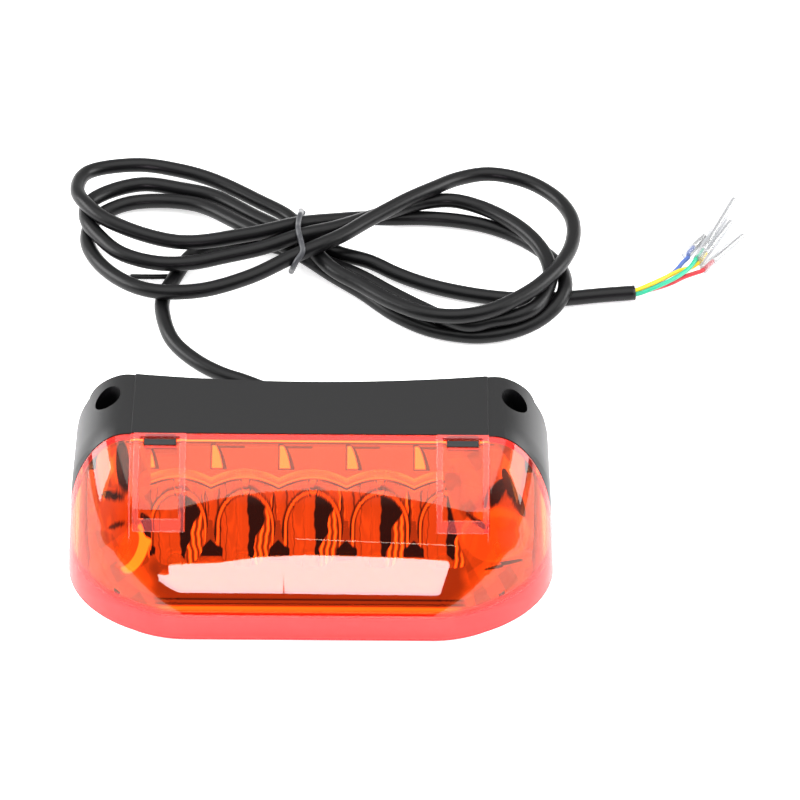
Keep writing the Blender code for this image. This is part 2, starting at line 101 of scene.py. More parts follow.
def mesh_from(name, points, quads, finish, smooth=True):
    """An object from an (N, 3) array in millimetres and an (M, 4) array of corner numbers."""
    mesh = bpy.data.meshes.new(name)
    mesh.vertices.add(len(points))
    mesh.vertices.foreach_set("co", (np.asarray(points) * MM).astype(np.float32).ravel())
    mesh.loops.add(quads.size)
    mesh.loops.foreach_set("vertex_index", quads.astype(np.int32).ravel())
    mesh.polygons.add(len(quads))
    mesh.polygons.foreach_set("loop_start", np.arange(len(quads), dtype=np.int32) * 4)
    mesh.polygons.foreach_set("use_smooth", np.full(len(quads), smooth))
    mesh.update(calc_edges=True)
    mesh.validate()
    if finish:
        mesh.materials.append(finish)
    return placed(name, mesh)


def outward(made):
    """Turn a closed mesh's faces outwards."""
    shell = bmesh.new()
    shell.from_mesh(made.data)
    bmesh.ops.recalc_face_normals(shell, faces=shell.faces)
    shell.to_mesh(made.data)
    shell.free()
    return made


def closed_solid(name, points, faces):
    """A closed object from points in millimetres and faces of any number of corners."""
    mesh = bpy.data.meshes.new(name)
    mesh.from_pydata((np.asarray(points, float) * MM).tolist(), [], faces)
    return outward(placed(name, mesh))


def quads_of(rows, columns, ring=False):
    """Corner numbers of every quad in a grid of points. In a ring the last column joins the first."""
    number = np.arange(rows * columns).reshape(rows, columns)
    nxt = np.roll(number, -1, axis=1)
    if not ring:
        number, nxt = number[:, :-1], nxt[:, :-1]
    return np.stack([number[:-1], nxt[:-1], nxt[1:], number[1:]], axis=-1).reshape(-1, 4)


def attach(made, slot, *nodes):
    """The piece moves with the lamp and stands for the CAD nodes. `slot` is not used."""
    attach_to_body(made, "root")
    if nodes:
        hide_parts(*nodes)
    return made


print("a 3 x 4 grid has", len(quads_of(3, 4)), "quads")

# %% [markdown]
# ## Camera
# The lamp lies on its back and is seen from its front and 44 degrees above, through a long lens. The long
# lens keeps the near and far ends of the cable in proportion, and the frame is turned by 0.4 degrees.

# %% Camera
CAMERA = np.array([24.45, -709.9, 742.6])
camera_data = bpy.data.cameras.new("camera")
camera_data.lens = 165.0
camera_data.sensor_width = 36.0
camera_data.clip_start = 0.05
camera = placed("camera", camera_data)
tilt = Matrix.Rotation(math.radians(46.0), 4, "X")
roll = Matrix.Rotation(math.radians(0.4), 4, "Z")
camera.matrix_world = Matrix.Translation(Vector(CAMERA * MM)) @ tilt @ roll
bpy.context.scene.camera = camera
print("camera stands", round(float(np.linalg.norm(CAMERA)) * MM, 3), "m away")

# %% [markdown]
# ## Cable
# The cable leaves the lamp's rear wall, makes three loops to each side of its tie and ends in four
# stripped wires. Each knot is where the strand is seen against the table, x and y, and its height.
# Lifting a knot along its line of sight changes which strand passes over which, and nothing else.

# %% The cable's knots
BEHIND = [(2.0, 28.5, 9.0), (1.7, 33.0, 8.6), (0.3, 39.0, 7.2), (-2.8, 46.0, 5.2), (-7.2, 53.0, 3.5),
          (-12.6, 59.0, 2.6)]
LEAD = [(-18.8, 65.7, 2.3), (-27.0, 69.0, 2.3), (-35.4, 74.8, 2.3), (-42.9, 83.6, 2.3),
        (-46.4, 94.3, 2.3), (-46.9, 101.8, 2.3), (-44.3, 110.3, 2.3), (-37.5, 123.5, 2.3),
        (-22.2, 127.8, 2.3), (-6.2, 123.0, 2.3)]
RIGHT_B = [(4.8, 117.2, 2.3), (12.5, 112.4, 2.3), (21.9, 105.0, 2.5), (31.4, 98.2, 2.9),
           (37.8, 94.1, 3.0), (45.2, 91.6, 3.2), (51.5, 93.4, 3.6), (59.0, 95.6, 4.2),
           (65.0, 99.9, 5.0), (68.4, 107.0, 5.6), (69.6, 113.0, 5.8), (69.1, 119.6, 5.8),
           (67.0, 126.2, 5.4), (62.4, 133.6, 5.0), (56.1, 140.0, 4.6), (48.4, 145.1, 4.5),
           (40.0, 148.0, 4.6), (31.2, 146.9, 5.2), (20.8, 142.7, 6.5), (13.1, 139.0, 7.6),
           (4.9, 135.1, 8.8)]
LEFT_2 = [(-6.4, 131.2, 9.5), (-17.7, 125.4, 9.0), (-29.1, 121.4, 7.8), (-39.4, 118.3, 7.0),
          (-49.8, 118.2, 6.5), (-60.6, 122.4, 6.0), (-67.4, 129.6, 5.4), (-72.0, 137.5, 4.6),
          (-72.2, 144.9, 4.0), (-67.3, 150.2, 3.6), (-56.0, 154.6, 3.0), (-43.4, 152.3, 3.0),
          (-33.4, 149.1, 3.0), (-20.7, 139.9, 4.5), (-6.3, 129.4, 5.5)]
RIGHT_A = [(3.9, 115.8, 5.2), (12.5, 108.9, 5.0), (21.9, 101.4, 5.2), (31.4, 96.5, 5.8),
           (41.6, 95.3, 6.5), (51.0, 97.7, 7.4), (58.5, 102.5, 8.2), (66.2, 109.4, 9.2),
           (71.8, 117.0, 9.5), (75.9, 125.8, 9.2), (77.3, 133.7, 8.5), (76.6, 140.9, 7.5),
           (72.4, 149.4, 6.0), (63.4, 157.3, 4.6), (51.8, 160.7, 4.2), (42.0, 158.3, 4.6),
           (34.3, 153.7, 5.4), (26.5, 148.5, 6.6), (19.8, 143.1, 7.8), (13.1, 137.4, 8.8),
           (6.5, 131.5, 9.4), (-0.2, 126.9, 9.6)]
LEFT_3 = [(-8.7, 121.3, 9.0), (-21.5, 112.0, 8.0), (-36.8, 105.7, 6.8), (-52.4, 106.2, 5.5),
          (-64.6, 114.8, 4.0), (-71.1, 127.0, 3.0), (-69.8, 137.5, 2.6), (-61.7, 144.6, 2.5),
          (-51.9, 146.8, 2.5), (-38.5, 145.1, 2.6), (-25.0, 136.4, 3.2), (-6.2, 122.5, 4.8)]
RIGHT_C = [(4.0, 113.1, 4.2), (12.6, 105.8, 3.6), (23.0, 95.7, 3.0), (32.3, 89.8, 2.6),
           (41.6, 87.1, 2.5), (49.0, 86.7, 2.5), (58.3, 89.1, 2.8), (65.8, 93.9, 3.4),
           (71.5, 101.1, 4.6), (74.0, 108.8, 5.0), (72.9, 116.5, 4.2), (68.3, 123.6, 3.2),
           (60.9, 130.6, 2.6), (51.5, 135.8, 2.5), (41.9, 138.5, 2.5), (31.3, 139.6, 3.2),
           (21.7, 139.4, 4.6), (13.1, 139.4, 6.4), (4.8, 138.5, 8.4)]
LEFT_1 = [(-6.5, 136.8, 10.0), (-22.3, 131.5, 9.5), (-43.2, 127.8, 8.6), (-63.7, 136.2, 8.0),
          (-71.6, 143.6, 7.2), (-75.9, 151.6, 6.2), (-73.6, 159.8, 4.5), (-58.4, 163.9, 3.0),
          (-44.8, 161.4, 2.8), (-33.7, 156.7, 2.8), (-19.4, 146.9, 3.0), (-10.9, 140.5, 3.4),
          (-6.5, 134.9, 4.2)]
TAIL = [(3.8, 124.2, 3.6), (15.1, 119.3, 3.0), (23.8, 113.5, 2.5), (33.2, 108.8, 2.3),
        (42.6, 105.7, 2.3), (52.0, 103.7, 2.3), (62.3, 102.7, 2.3), (70.7, 103.0, 2.3),
        (75.9, 103.7, 2.3), (84.9, 105.1, 2.3), (94.8, 106.3, 2.4)]
RUN = LEAD + RIGHT_B + LEFT_2 + RIGHT_A + LEFT_3 + RIGHT_C + LEFT_1 + TAIL
print("knots:", len(RUN))

# %% [markdown]
# ### A settled route
# The strands of a real coil lie on each other. A cloth or rope simulation could lay them, but its result
# would be hard to steer, so here the heights alone are relaxed until no strand cuts into another.

# %% From knots to a settled route
NEIGHBOURS = 12
PUSH = 0.35
CLEAR_OF_TABLE = 0.03


def lift(seen, height):
    """Where a point seen at (x, y) on the table is once it has a height: it moves along the line of
    sight by the share height / camera height."""
    share = (height / CAMERA[2])[:, None]
    flat = np.concatenate([seen, np.zeros((len(seen), 1))], axis=1)
    return flat + (CAMERA - flat) * share


def smooth(knots, spacing):
    """Even points along a centripetal Catmull-Rom curve through the knots, `spacing` apart. Each
    stretch is blended from its four knots by the distances between them to the power 0.5."""
    knots = np.asarray(knots, float)
    padded = np.vstack([2 * knots[0] - knots[1], knots, 2 * knots[-1] - knots[-2]])
    steps = np.sqrt(np.linalg.norm(np.diff(padded, axis=0), axis=1))
    at = np.concatenate([[0.0], np.cumsum(steps)])
    fine = []
    for i in range(1, len(knots)):
        t0, t1, t2, t3 = at[i - 1:i + 3]
        p0, p1, p2, p3 = padded[i - 1:i + 3]
        t = np.linspace(t1, t2, 40, endpoint=False)[:, None]
        a1 = ((t1 - t) * p0 + (t - t0) * p1) / (t1 - t0)
        a2 = ((t2 - t) * p1 + (t - t1) * p2) / (t2 - t1)
        a3 = ((t3 - t) * p2 + (t - t2) * p3) / (t3 - t2)
        b1 = ((t2 - t) * a1 + (t - t0) * a2) / (t2 - t0)
        b2 = ((t3 - t) * a2 + (t - t1) * a3) / (t3 - t1)
        fine.append(((t2 - t) * b1 + (t - t1) * b2) / (t2 - t1))
    fine = np.vstack(fine + [knots[-1:]])
    along = np.concatenate([[0.0], np.cumsum(np.linalg.norm(np.diff(fine, axis=0), axis=1))])
    stations = np.linspace(0.0, along[-1], max(2, round(along[-1] / spacing) + 1))
    return np.stack([np.interp(stations, along, fine[:, k]) for k in range(fine.shape[1])], axis=1)


def settle_heights(seen, height, thick, rounds):
    """Push crossing strands apart along the line of sight. Wherever two points far apart along the
    cable are nearer than its thickness, the upper one rises and the lower one sinks by a part of the
    shortfall, the table stops them, and a running mean keeps the heights smooth."""
    count = len(seen)
    apart = np.abs(np.subtract.outer(np.arange(count), np.arange(count))) > NEIGHBOURS
    order = height.copy()
    for _ in range(rounds):
        place = lift(seen, height)
        gap = np.linalg.norm(place[:, None] - place[None], axis=2)
        short = np.where(apart, np.clip(thick - gap, 0.0, None), 0.0)
        above = order[:, None] > order[None]
        height = height + PUSH * (short * above).max(axis=1) - PUSH * (short * ~above).max(axis=1)
        height = np.clip(height, thick / 2 + CLEAR_OF_TABLE, None)
        one_side = height[:-4] + 2 * height[1:-3] + 3 * height[2:-2]
        height[2:-2] = (one_side + 2 * height[3:-1] + height[4:]) / 9
    return np.clip(height, thick / 2 + CLEAR_OF_TABLE, None)


CABLE_D = 4.5
run = smooth(RUN, 2.0)
heights = settle_heights(run[:, :2], run[:, 2], CABLE_D, 120)
route = smooth(np.vstack([smooth(BEHIND, 2.0), lift(run[:, :2], heights)[2:]]), 1.6)
print("highest strand, mm:", round(float(route[:, 2].max() + CABLE_D / 2), 1))

# %% [markdown]
# ### Round strands
# A strand is a ring of points carried along its route without twist. A curve object with a bevel would
# look alike, but a mesh has the same rings at every step and can change its radius from point to point.

# %% Tubes
def carried_frames(path):
    """Tangent, side and up vectors along a path. The side vector is carried forward by removing its
    part along each new tangent, so that it never spins."""
    tangent = np.gradient(path, axis=0)
    tangent /= np.linalg.norm(tangent, axis=1)[:, None]
    side = np.zeros_like(tangent)
    first = np.cross(tangent[0], [0.0, 0.0, 1.0])
    side[0] = first / np.linalg.norm(first)
    for i in range(1, len(path)):
        step = side[i - 1] - tangent[i] * np.dot(side[i - 1], tangent[i])
        side[i] = step / np.linalg.norm(step)
    return tangent, side, np.cross(tangent, side)


def tube(name, path, radius, finish, sides=20, ends=0.25):
    """A round strand along a path, its radius one number or one for each point, with closed ends."""
    radius = np.broadcast_to(np.asarray(radius, float), len(path)).copy()
    tangent, side, up = carried_frames(path)
    angle = np.linspace(0.0, 2 * np.pi, sides, endpoint=False)
    spokes = np.cos(angle)[None, :, None] * side[:, None] + np.sin(angle)[None, :, None] * up[:, None]
    rings = path[:, None] + spokes * radius[:, None, None]
    caps = []
    for end, sign in ((0, -1.0), (-1, 1.0)):
        push = tangent[end] * sign * ends
        rims = [path[end] + push * lift_by + spokes[end] * radius[end] * size
                for size, lift_by in ((0.0, 1.0), (0.55, 1.0), (0.9, 0.8))]
        caps.append(np.array(rims))
    rings = np.concatenate([caps[0], rings, caps[1][::-1]])
    return mesh_from(name, rings.reshape(-1, 3), quads_of(len(rings), sides, ring=True), finish)


print("tube helper ready")

# %% [markdown]
# ## Materials
# Each is named by the real material. The jacket, housing, ties and cores are moulded or extruded plastics
# with a fine grain, which a shallow noise bump gives. The pins are tinned brass and nearly smooth.

# %% Cable, housing and small materials
def bumped(tree, scale, height, detail=4.0):
    """A fine noise bump: the grain of a moulded or extruded surface."""
    where = add(tree, "TexCoord").outputs["Object"]
    noise = add(tree, "TexNoise", {"Vector": where, "Scale": scale, "Detail": detail, "Roughness": 0.6})
    bump = add(tree, "Bump", {"Height": noise.outputs["Fac"], "Strength": 1.0, "Distance": height})
    return bump.outputs["Normal"]


def plastic(name, code, rough, grain=900.0, depth=0.00003, specular=0.5, coat=0.0):
    """A moulded or extruded plastic with a fine grain."""
    made, tree, out = new_material(name)
    shader = add(tree, "BsdfPrincipled", {"Base Color": colour(code), "Roughness": rough,
                                          "Specular IOR Level": specular, "Coat Weight": coat,
                                          "Normal": bumped(tree, grain, depth)})
    tree.links.new(shader.outputs["BSDF"], out.inputs["Surface"])
    return made


pvc_black = plastic("black_pvc_jacket", "#0A0A0B", 0.34, 700.0, 0.00002, 0.22)
abs_black = plastic("black_abs", "#0A0A0B", 0.42, 1500.0, 0.00001, 0.4)
rubber_black = plastic("black_rubber", "#1B1B1C", 0.6)
tie_grey = plastic("grey_pvc_wire_tie", "#35363A", 0.4)
core_colours = {"blue": "#4560A8", "yellow": "#E0C714", "green": "#1FA67E", "red": "#B5242E"}
cores = {key: plastic("%s_core_pvc" % key, code, 0.35, 500.0, 0.00001)
         for key, code in core_colours.items()}


def metal(name, code, rough):
    """A plain metal."""
    made, tree, out = new_material(name)
    shader = add(tree, "BsdfPrincipled", {"Base Color": colour(code), "Metallic": 1.0, "Roughness": rough})
    tree.links.new(shader.outputs["BSDF"], out.inputs["Surface"])
    return made


tinned = metal("tinned_brass", "#C6C6C4", 0.25)
print("plastics:", 4 + len(cores))

# %% [markdown]
# ### Clear soft sleeve
# The sleeves are clear soft PVC. Real refraction in so thin a wall costs much light and time, so the wall
# is mixed from a plain see-through part and a pale surface that takes over where it is seen at a slant.

# %% Clear soft sleeve
def clear_sleeve(name):
    """Slightly cloudy clear PVC: mostly see-through, with a pale edge where it is seen at a slant."""
    made, tree, out = new_material(name)
    facing = add(tree, "LayerWeight", {"Blend": 0.45}).outputs["Facing"]
    body = add(tree, "BsdfPrincipled", {"Base Color": colour("#B4B6B9"), "Roughness": 0.1})
    through = add(tree, "BsdfTransparent", {"Color": colour("#F6F6F6")})
    share = add(tree, "MapRange", {"Value": facing, "From Min": 0.0, "From Max": 1.0,
                                   "To Min": 0.14, "To Max": 0.95})
    mixed = add(tree, "MixShader", {0: share.outputs["Result"], 1: through.outputs["BSDF"],
                                    2: body.outputs["BSDF"]})
    tree.links.new(mixed.outputs["Shader"], out.inputs["Surface"])
    return made


sleeve_clear = clear_sleeve("clear_pvc_sleeve")
print("sleeve material ready")

# %% [markdown]
# ## Cable, tie and wire ends
# The cable is one strand from the rear wall to the end of its jacket. The tie is a soft wire in a plastic
# cover. It rests on whatever lies beneath it: each of its points rises along the line of sight until it
# clears every strand, and a few rounds of averaging pull it tight.

# %% The cable in the scene
cable = tube("cable", route, CABLE_D / 2, pvc_black, sides=24, ends=0.1)
attach(cable, "jacket_pvc", "cable_lead", "cable_hank", "cable_tail")
print("cable points:", len(route))

# %% The tie over the strands
TIE_R = 0.85
TIE_CLEAR = 0.05
TIE = [(-6.3, 142.6, 0.0), (-7.0, 138.6, 0.0), (-7.1, 134.0, 0.0), (-5.9, 127.6, 0.0),
       (-5.5, 123.7, 0.0), (-7.3, 119.3, 0.0), (-8.7, 114.8, 0.0)]
seen_tie = smooth(TIE, 1.0)
levels = np.arange(1.2, 20.0, 0.2)
tie_front = []
for x, y, _ in seen_tie:
    tries = lift(np.repeat([[x, y]], len(levels), axis=0), levels)
    reach = np.linalg.norm(tries[:, None] - route[None], axis=2).min(axis=1)
    under = np.flatnonzero(reach < CABLE_D / 2 + TIE_R + TIE_CLEAR)
    tie_front.append(levels[min(under[-1] + 1, len(levels) - 1)] if len(under) else 2.0)
tie_high = np.array(tie_front)
for _ in range(4):
    tie_high[1:-1] = np.maximum(tie_high[1:-1], (tie_high[:-2] + tie_high[2:]) / 2)
front = lift(seen_tie[:, :2], tie_high)
under_side = np.array([front[0] + np.array([0.4, 0.6, -3.0]), front[0] + np.array([0.5, 0.3, -1.2])])
tie_path = smooth(np.vstack([under_side, front]), 0.8)
tie_path[:, 2] = np.maximum(tie_path[:, 2], TIE_R + TIE_CLEAR)
tie = tube("tie", tie_path, TIE_R, tie_grey, sides=14, ends=0.4)
attach(tie, "tie_pvc", "twist_tie")
print("tie path, mm:", round(float(np.linalg.norm(np.diff(tie_path, axis=0), axis=1).sum())))

# %% The tie's loose end
TIE_TAIL = [(-41.5, 112.4, 2.2), (-48.5, 111.9, 2.4), (-57.2, 111.9, 2.6)]
tail_seen = smooth(TIE_TAIL, 1.0)
tie_tail_path = lift(tail_seen[:, :2], tail_seen[:, 2])
tie_tail = tube("tie_end", tie_tail_path, 0.8, pvc_black, sides=12, ends=0.02)
attach(tie_tail, "tie_pvc")
stands_out = (tie_tail_path[-1] - tie_tail_path[-2]) * 0.35
tie_core = tube("tie_core", tie_tail_path[-4:] + stands_out, 0.45, tinned, sides=10)
attach(tie_core, "tinned_brass")
print("loose end's points:", len(tie_tail_path))

# %% [markdown]
# ### Wires and sleeves
# Four cores fan out of the jacket, and each ends in a small pin under a clear sleeve. The core is drawn
# from listed knots and runs on a little way into its sleeve, so that no gap shows between them.

# %% Wires and sleeves
WIRES = {
    "blue": [(95.0, 107.2, 2.2), (101.6, 110.9, 1.2), (107.6, 116.3, 1.0), (110.0, 120.1, 1.2),
             (111.6, 122.1, 1.6)],
    "yellow": [(93.9, 106.9, 3.1), (95.8, 107.7, 3.1), (101.4, 111.2, 2.6), (109.3, 116.5, 1.2),
               (112.5, 117.9, 1.1), (114.9, 120.2, 1.6)],
    "green": [(94.6, 105.4, 2.4), (96.4, 106.0, 2.6), (101.3, 108.8, 3.0), (108.1, 113.7, 3.0),
              (111.9, 117.7, 2.8), (114.8, 123.0, 2.4)],
    "red": [(94.6, 105.8, 1.6), (102.6, 108.9, 0.9), (106.4, 110.9, 0.9), (110.1, 113.5, 1.0),
            (115.5, 116.2, 1.6)],
}
SLEEVES = {
    "blue": ((110.9, 122.9), (118.3, 134.0), 1.6), "yellow": ((114.9, 120.2), (126.6, 140.7), 1.9),
    "green": ((114.5, 121.4), (128.1, 151.5), 2.3), "red": ((116.1, 117.0), (130.2, 134.1), 1.6),
}
WIRE_R = 0.68
SLEEVE_R = 1.35
PIN_R = 0.7
PIN_CRIMP_R = 0.95
SLEEVE_ARCH = 0.2
wire_pieces = []
for key, knots in WIRES.items():
    seen = smooth(knots, 1.0)
    (x0, y0), (x1, y1), high = SLEEVES[key]
    middle = (0.5 * (x0 + x1), 0.5 * (y0 + y1), high + SLEEVE_ARCH)
    axis_points = smooth([(x0, y0, high), middle, (x1, y1, high)], 1.0)
    axis_path = lift(axis_points[:, :2], axis_points[:, 2])
    core_path = np.vstack([lift(seen[:, :2], seen[:, 2]), axis_path[2:7]])
    wire = tube("core_" + key, smooth(core_path, 0.8), WIRE_R, cores[key], sides=12, ends=0.05)
    attach(wire, "core_" + key, "conductor_" + key)
    sleeve = tube("clear_sleeve_" + key, axis_path, SLEEVE_R, sleeve_clear, sides=20, ends=0.02)
    attach(sleeve, "clear_pvc", "sleeve_" + key)
    pin_size = np.full(len(axis_path) - 7, PIN_R)
    pin_size[:4] = PIN_CRIMP_R
    pin = tube("terminal_pin_" + key, axis_path[5:-2], pin_size, tinned, sides=12, ends=0.2)
    attach(pin, "tinned_brass", "terminal_" + key)
    wire_pieces += [wire, sleeve, pin]
print("wire pieces:", len(wire_pieces))

# %% [markdown]
# ### Grommet
# A rubber collar grips the rear wall and keeps the cable from kinking. It is turned from one profile, with
# an inner flange, a groove for the wall, an outer flange and a short tapering sleeve.

# %% Grommet
# Each pair is a radius and a distance behind the rear wall's inner face.
COLLAR = np.array([(4.9, -3.4), (4.9, -0.4), (3.6, -0.39), (3.6, 2.9), (4.9, 2.91), (4.9, 4.2), (4.3, 4.6),
                   (3.9, 6.6), (3.4, 6.61), (3.7, 7.4), (3.3, 8.8)])
INNER_FACE, EXIT_X, EXIT_Z = 18.1, 2.0, 9.0
collar_path = np.stack([np.full(len(COLLAR), EXIT_X), INNER_FACE + COLLAR[:, 1],
                        np.full(len(COLLAR), EXIT_Z)], axis=1)
grommet = tube("grommet", collar_path, COLLAR[:, 0], rubber_black, sides=32, ends=0.0)
attach(grommet, "grommet_rubber", "cable_grommet")
print("grommet, mm:", round(float(np.ptp(COLLAR[:, 1])), 1))

# %% [markdown]
# ## The lamp's form
# Seen from the side, the lens is one arc from the rim to the flat strip on top. Towards the ends, every row
# is pulled in by a quarter of an ellipse, along a direction that turns from nearly level to upright. Lens
# and housing share this form, so it is one formula, and each piece is cut from it.

# %% Form formula
HALF, DRAFT, TOP = 64.4, 0.07, 44.0
RADIUS, LOW_ANGLE, HIGH_ANGLE = 63.0, 23.5, 69.6
LOW_ROUND, HIGH_ROUND = np.array([31.0, 31.0]), np.array([15.0, 20.0])
BAND, BAND_EDGE, STEP, FADE = 48.4, 0.35, 0.4, (41.0, 46.0)
WALL, GAP = 2.5, 0.3


def toward(degrees):
    """Unit vectors (y, z) at an elevation above the forward direction."""
    turn = np.radians(degrees)
    return np.stack([-np.cos(turn), np.sin(turn)], axis=-1)


# The centre (y, z) of the arc: one radius below and behind the top of the arc.
ARC_CENTRE = np.array([0.0, TOP]) - RADIUS * toward(HIGH_ANGLE)


def form(share, across, inset=0.0, extra_y=0.0):
    """Points of the form, set in by `inset`, for arrays of shares along the arc (0 at the rim, 1 at the
    strip) and distances across. The row's point is the arc's centre plus (radius - inset) times its
    direction; the pull is (inwards - inset) times 1 - sqrt(1 - u^2), u running from 0 where the
    rounding starts to 1 at the side. `extra_y` carries points back along the flat strip."""
    share, across = np.broadcast_arrays(np.asarray(share, float), np.asarray(across, float))
    elevation = LOW_ANGLE + (HIGH_ANGLE - LOW_ANGLE) * share
    point = ARC_CENTRE + (RADIUS - inset) * toward(elevation)
    pull = toward(LOW_ANGLE + (90.0 - LOW_ANGLE) * share)
    reach = LOW_ROUND + (HIGH_ROUND - LOW_ROUND) * share[..., None]
    half = HALF - inset
    u = np.clip((np.abs(across) - (HALF - reach[..., 0])) / (reach[..., 0] - inset), 0.0, 1.0)
    drop = (reach[..., 1] - inset) * (1.0 - np.sqrt(1.0 - u ** 2))
    fade = np.clip((elevation - FADE[0]) / (FADE[1] - FADE[0]), 0.0, 1.0)
    edge = np.clip((np.abs(across) - BAND) / BAND_EDGE, 0.0, 1.0)
    drop = drop + STEP * fade * edge * edge * (3.0 - 2.0 * edge)
    y = point[..., 0] - pull[..., 0] * drop + extra_y
    z = point[..., 1] - pull[..., 1] * drop
    lean = np.clip((np.abs(across) - BAND) / (half - BAND), 0.0, 1.0)
    x = across + np.sign(across) * DRAFT * (TOP - z) * lean
    return np.stack([x, y, z], axis=-1)


def columns_across(inset, count=44):
    """Distances across, close together at the band's edges and where the ends turn."""
    half = HALF - inset
    turning = LOW_ROUND[0]
    ends = half - turning * (1.0 - np.sin(np.linspace(0.0, np.pi / 2, count)))
    edge = BAND + np.array([-0.3, -0.02, 0.0, 0.06, 0.12, 0.18, 0.24, 0.3, 0.37, 0.7])
    right = np.unique(np.round(np.concatenate([np.linspace(0.0, half - turning, 12), ends, edge]), 4))
    right = right[right <= half]
    return np.concatenate([-right[:0:-1], right])


def solid_form(name, inset, foot=-6.0, back=34.0, rows=60):
    """The whole form as one closed mesh that runs past the base and the back."""
    across = columns_across(inset)
    face = form(np.linspace(0.0, 1.0, rows)[:, None], across[None], inset)
    strip = [form(1.0, across, inset, extra) for extra in (6.0, 14.0, back + inset)]
    grid = np.concatenate([face, np.array(strip)])
    low, high = grid[0].copy(), grid[-1].copy()
    for row in (low, high):
        lean = np.clip((np.abs(across) - BAND) / (HALF - inset - BAND), 0.0, 1.0)
        row[:, 0] += np.sign(across) * DRAFT * (row[:, 2] - foot + inset) * lean
        row[:, 2] = foot - inset
    grid = np.concatenate([low[None], grid, high[None]])
    count, width = grid.shape[:2]
    faces = quads_of(count, width).tolist()
    faces.append([i * width for i in range(count)])
    faces.append([i * width + width - 1 for i in range(count)][::-1])
    faces.append(list(range(width)) + [(count - 1) * width + j for j in range(width)][::-1])
    return closed_solid(name, grid.reshape(-1, 3), faces)


section = form(np.array([0.0, 0.5, 1.0]), 0.0)
print("section points, mm:", np.round(section, 1).tolist())

# %% [markdown]
# ### Cutting
# The lamp is split across its width by a 0.3 mm joint, straight in the middle and coming forward at the
# sides. Outlines in plan are given a height and cut the form into lens and housing, because a Boolean cut
# leaves the crisp edges that moulded parts have.

# %% Plan outlines and the cutting helper
TURN_X, TURN_DEPTH = 50.0, 3.0


def parting(x):
    """y of the joint: 0 in the middle, coming forward at the sides as a parabola that starts at TURN_X."""
    over = np.clip(np.abs(x) - TURN_X, 0.0, None) / (HALF - TURN_X)
    return -TURN_DEPTH * over ** 2


def prism(name, outline, low, high):
    """An outline in plan given a height."""
    count = len(outline)
    points = [(x, y, low) for x, y in outline] + [(x, y, high) for x, y in outline]
    faces = [list(range(count))[::-1], list(range(count, 2 * count))]
    faces += [[i, (i + 1) % count, count + (i + 1) % count, count + i] for i in range(count)]
    return closed_solid(name, points, faces)


def front_of(shift):
    """Everything in front of the joint, moved by `shift`."""
    xs = np.concatenate([np.linspace(70.0, 49.0, 22), np.linspace(-49.0, -70.0, 22)])
    return [(-70.0, -60.0), (70.0, -60.0)] + [(x, y) for x, y in zip(xs, parting(xs) + shift)]


def cut(made, tool, operation="DIFFERENCE"):
    """Boolean with a tool that is used up."""
    step = made.modifiers.new("step", "BOOLEAN")
    step.operation, step.solver, step.object = operation, "EXACT", tool
    graph = bpy.context.evaluated_depsgraph_get()
    mesh = bpy.data.meshes.new_from_object(made.evaluated_get(graph))
    made.modifiers.clear()
    made.data = mesh
    bpy.data.objects.remove(tool)
    return made


def shade(made, degrees, finish):
    """Smooth shading that keeps edges sharper than an angle, and one material."""
    made.data.materials.clear()
    made.data.materials.append(finish)
    made.data.polygons.foreach_set("use_smooth", np.ones(len(made.data.polygons), bool))
    made.data.set_sharp_from_angle(angle=math.radians(degrees))
    return made


print("joint at the side, y mm:", round(float(parting(HALF)), 1))

# %% [markdown]
# ### Housing
# The black ABS housing is the back of the lamp: a hollow box with rounded ears, a gently hollow rear wall
# and a screw tunnel in each ear. The box is hollowed by a smaller copy of the same form, and a post is
# left round each tunnel.

# %% Housing outline and tunnels
REAR_MID, REAR_END, EAR, WING_END, CORNER = 20.6, 23.7, 61.9, 21.4, 2.7
HIGH_ABOVE = 60.0
TUNNEL_X, TUNNEL_Y, SCREW_R, MOUTH_R, SEAT_Z, TUNNEL_STRETCH = 56.0, 16.2, 2.3, 3.6, 6.0, 1.12
POST_R, POST_Y = 5.6, 15.9


def rear(x):
    """y of the hollow rear wall: a parabola between its middle and |x| = 52."""
    return REAR_MID + (REAR_END - REAR_MID) * np.clip(np.abs(x) / 52.0, 0.0, 1.0) ** 2


def housing_outline(inset=0.0):
    """Wings, ears with rounded corners, and the hollow rear wall."""
    step = WING_END - inset
    right = [(72.0, -60.0), (72.0, step - 1.6), (HALF - inset + 0.9, step - 1.2),
             (HALF - inset + 0.2, step - 0.3), (EAR - inset + 0.5, step), (EAR - inset, step + 0.4)]
    size = max(CORNER - inset, 0.3)
    angle = np.radians(np.linspace(8.0, 90.0, 10))
    right += [(EAR - inset - size + size * math.cos(a), REAR_END - inset - size + size * math.sin(a))
              for a in angle]
    xs = np.linspace(54.0, -54.0, 61)
    return right + [(x, rear(x) - inset) for x in xs] + [(-x, y) for x, y in right[::-1]]


def turned(name, profile, x, y, sides=48, stretch=1.0):
    """A solid of revolution about an upright axis, longer along y by `stretch`."""
    radius, height = np.array(profile, float).T
    angle = np.linspace(0.0, 2 * np.pi, sides, endpoint=False)
    radius = np.concatenate([[0.0], radius, [0.0]])
    height = np.concatenate([height[:1], height, height[-1:]])
    rings = np.stack([x + np.outer(radius, np.cos(angle)), y + stretch * np.outer(radius, np.sin(angle)),
                      np.repeat(height[:, None], sides, axis=1)], axis=-1)
    made = mesh_from(name, rings.reshape(-1, 3), quads_of(len(rings), sides, ring=True), None)
    shell = bmesh.new()
    shell.from_mesh(made.data)
    bmesh.ops.remove_doubles(shell, verts=shell.verts, dist=1e-7)
    bmesh.ops.recalc_face_normals(shell, faces=shell.faces)
    shell.to_mesh(made.data)
    shell.free()
    return made


print("outline corners:", len(housing_outline()))

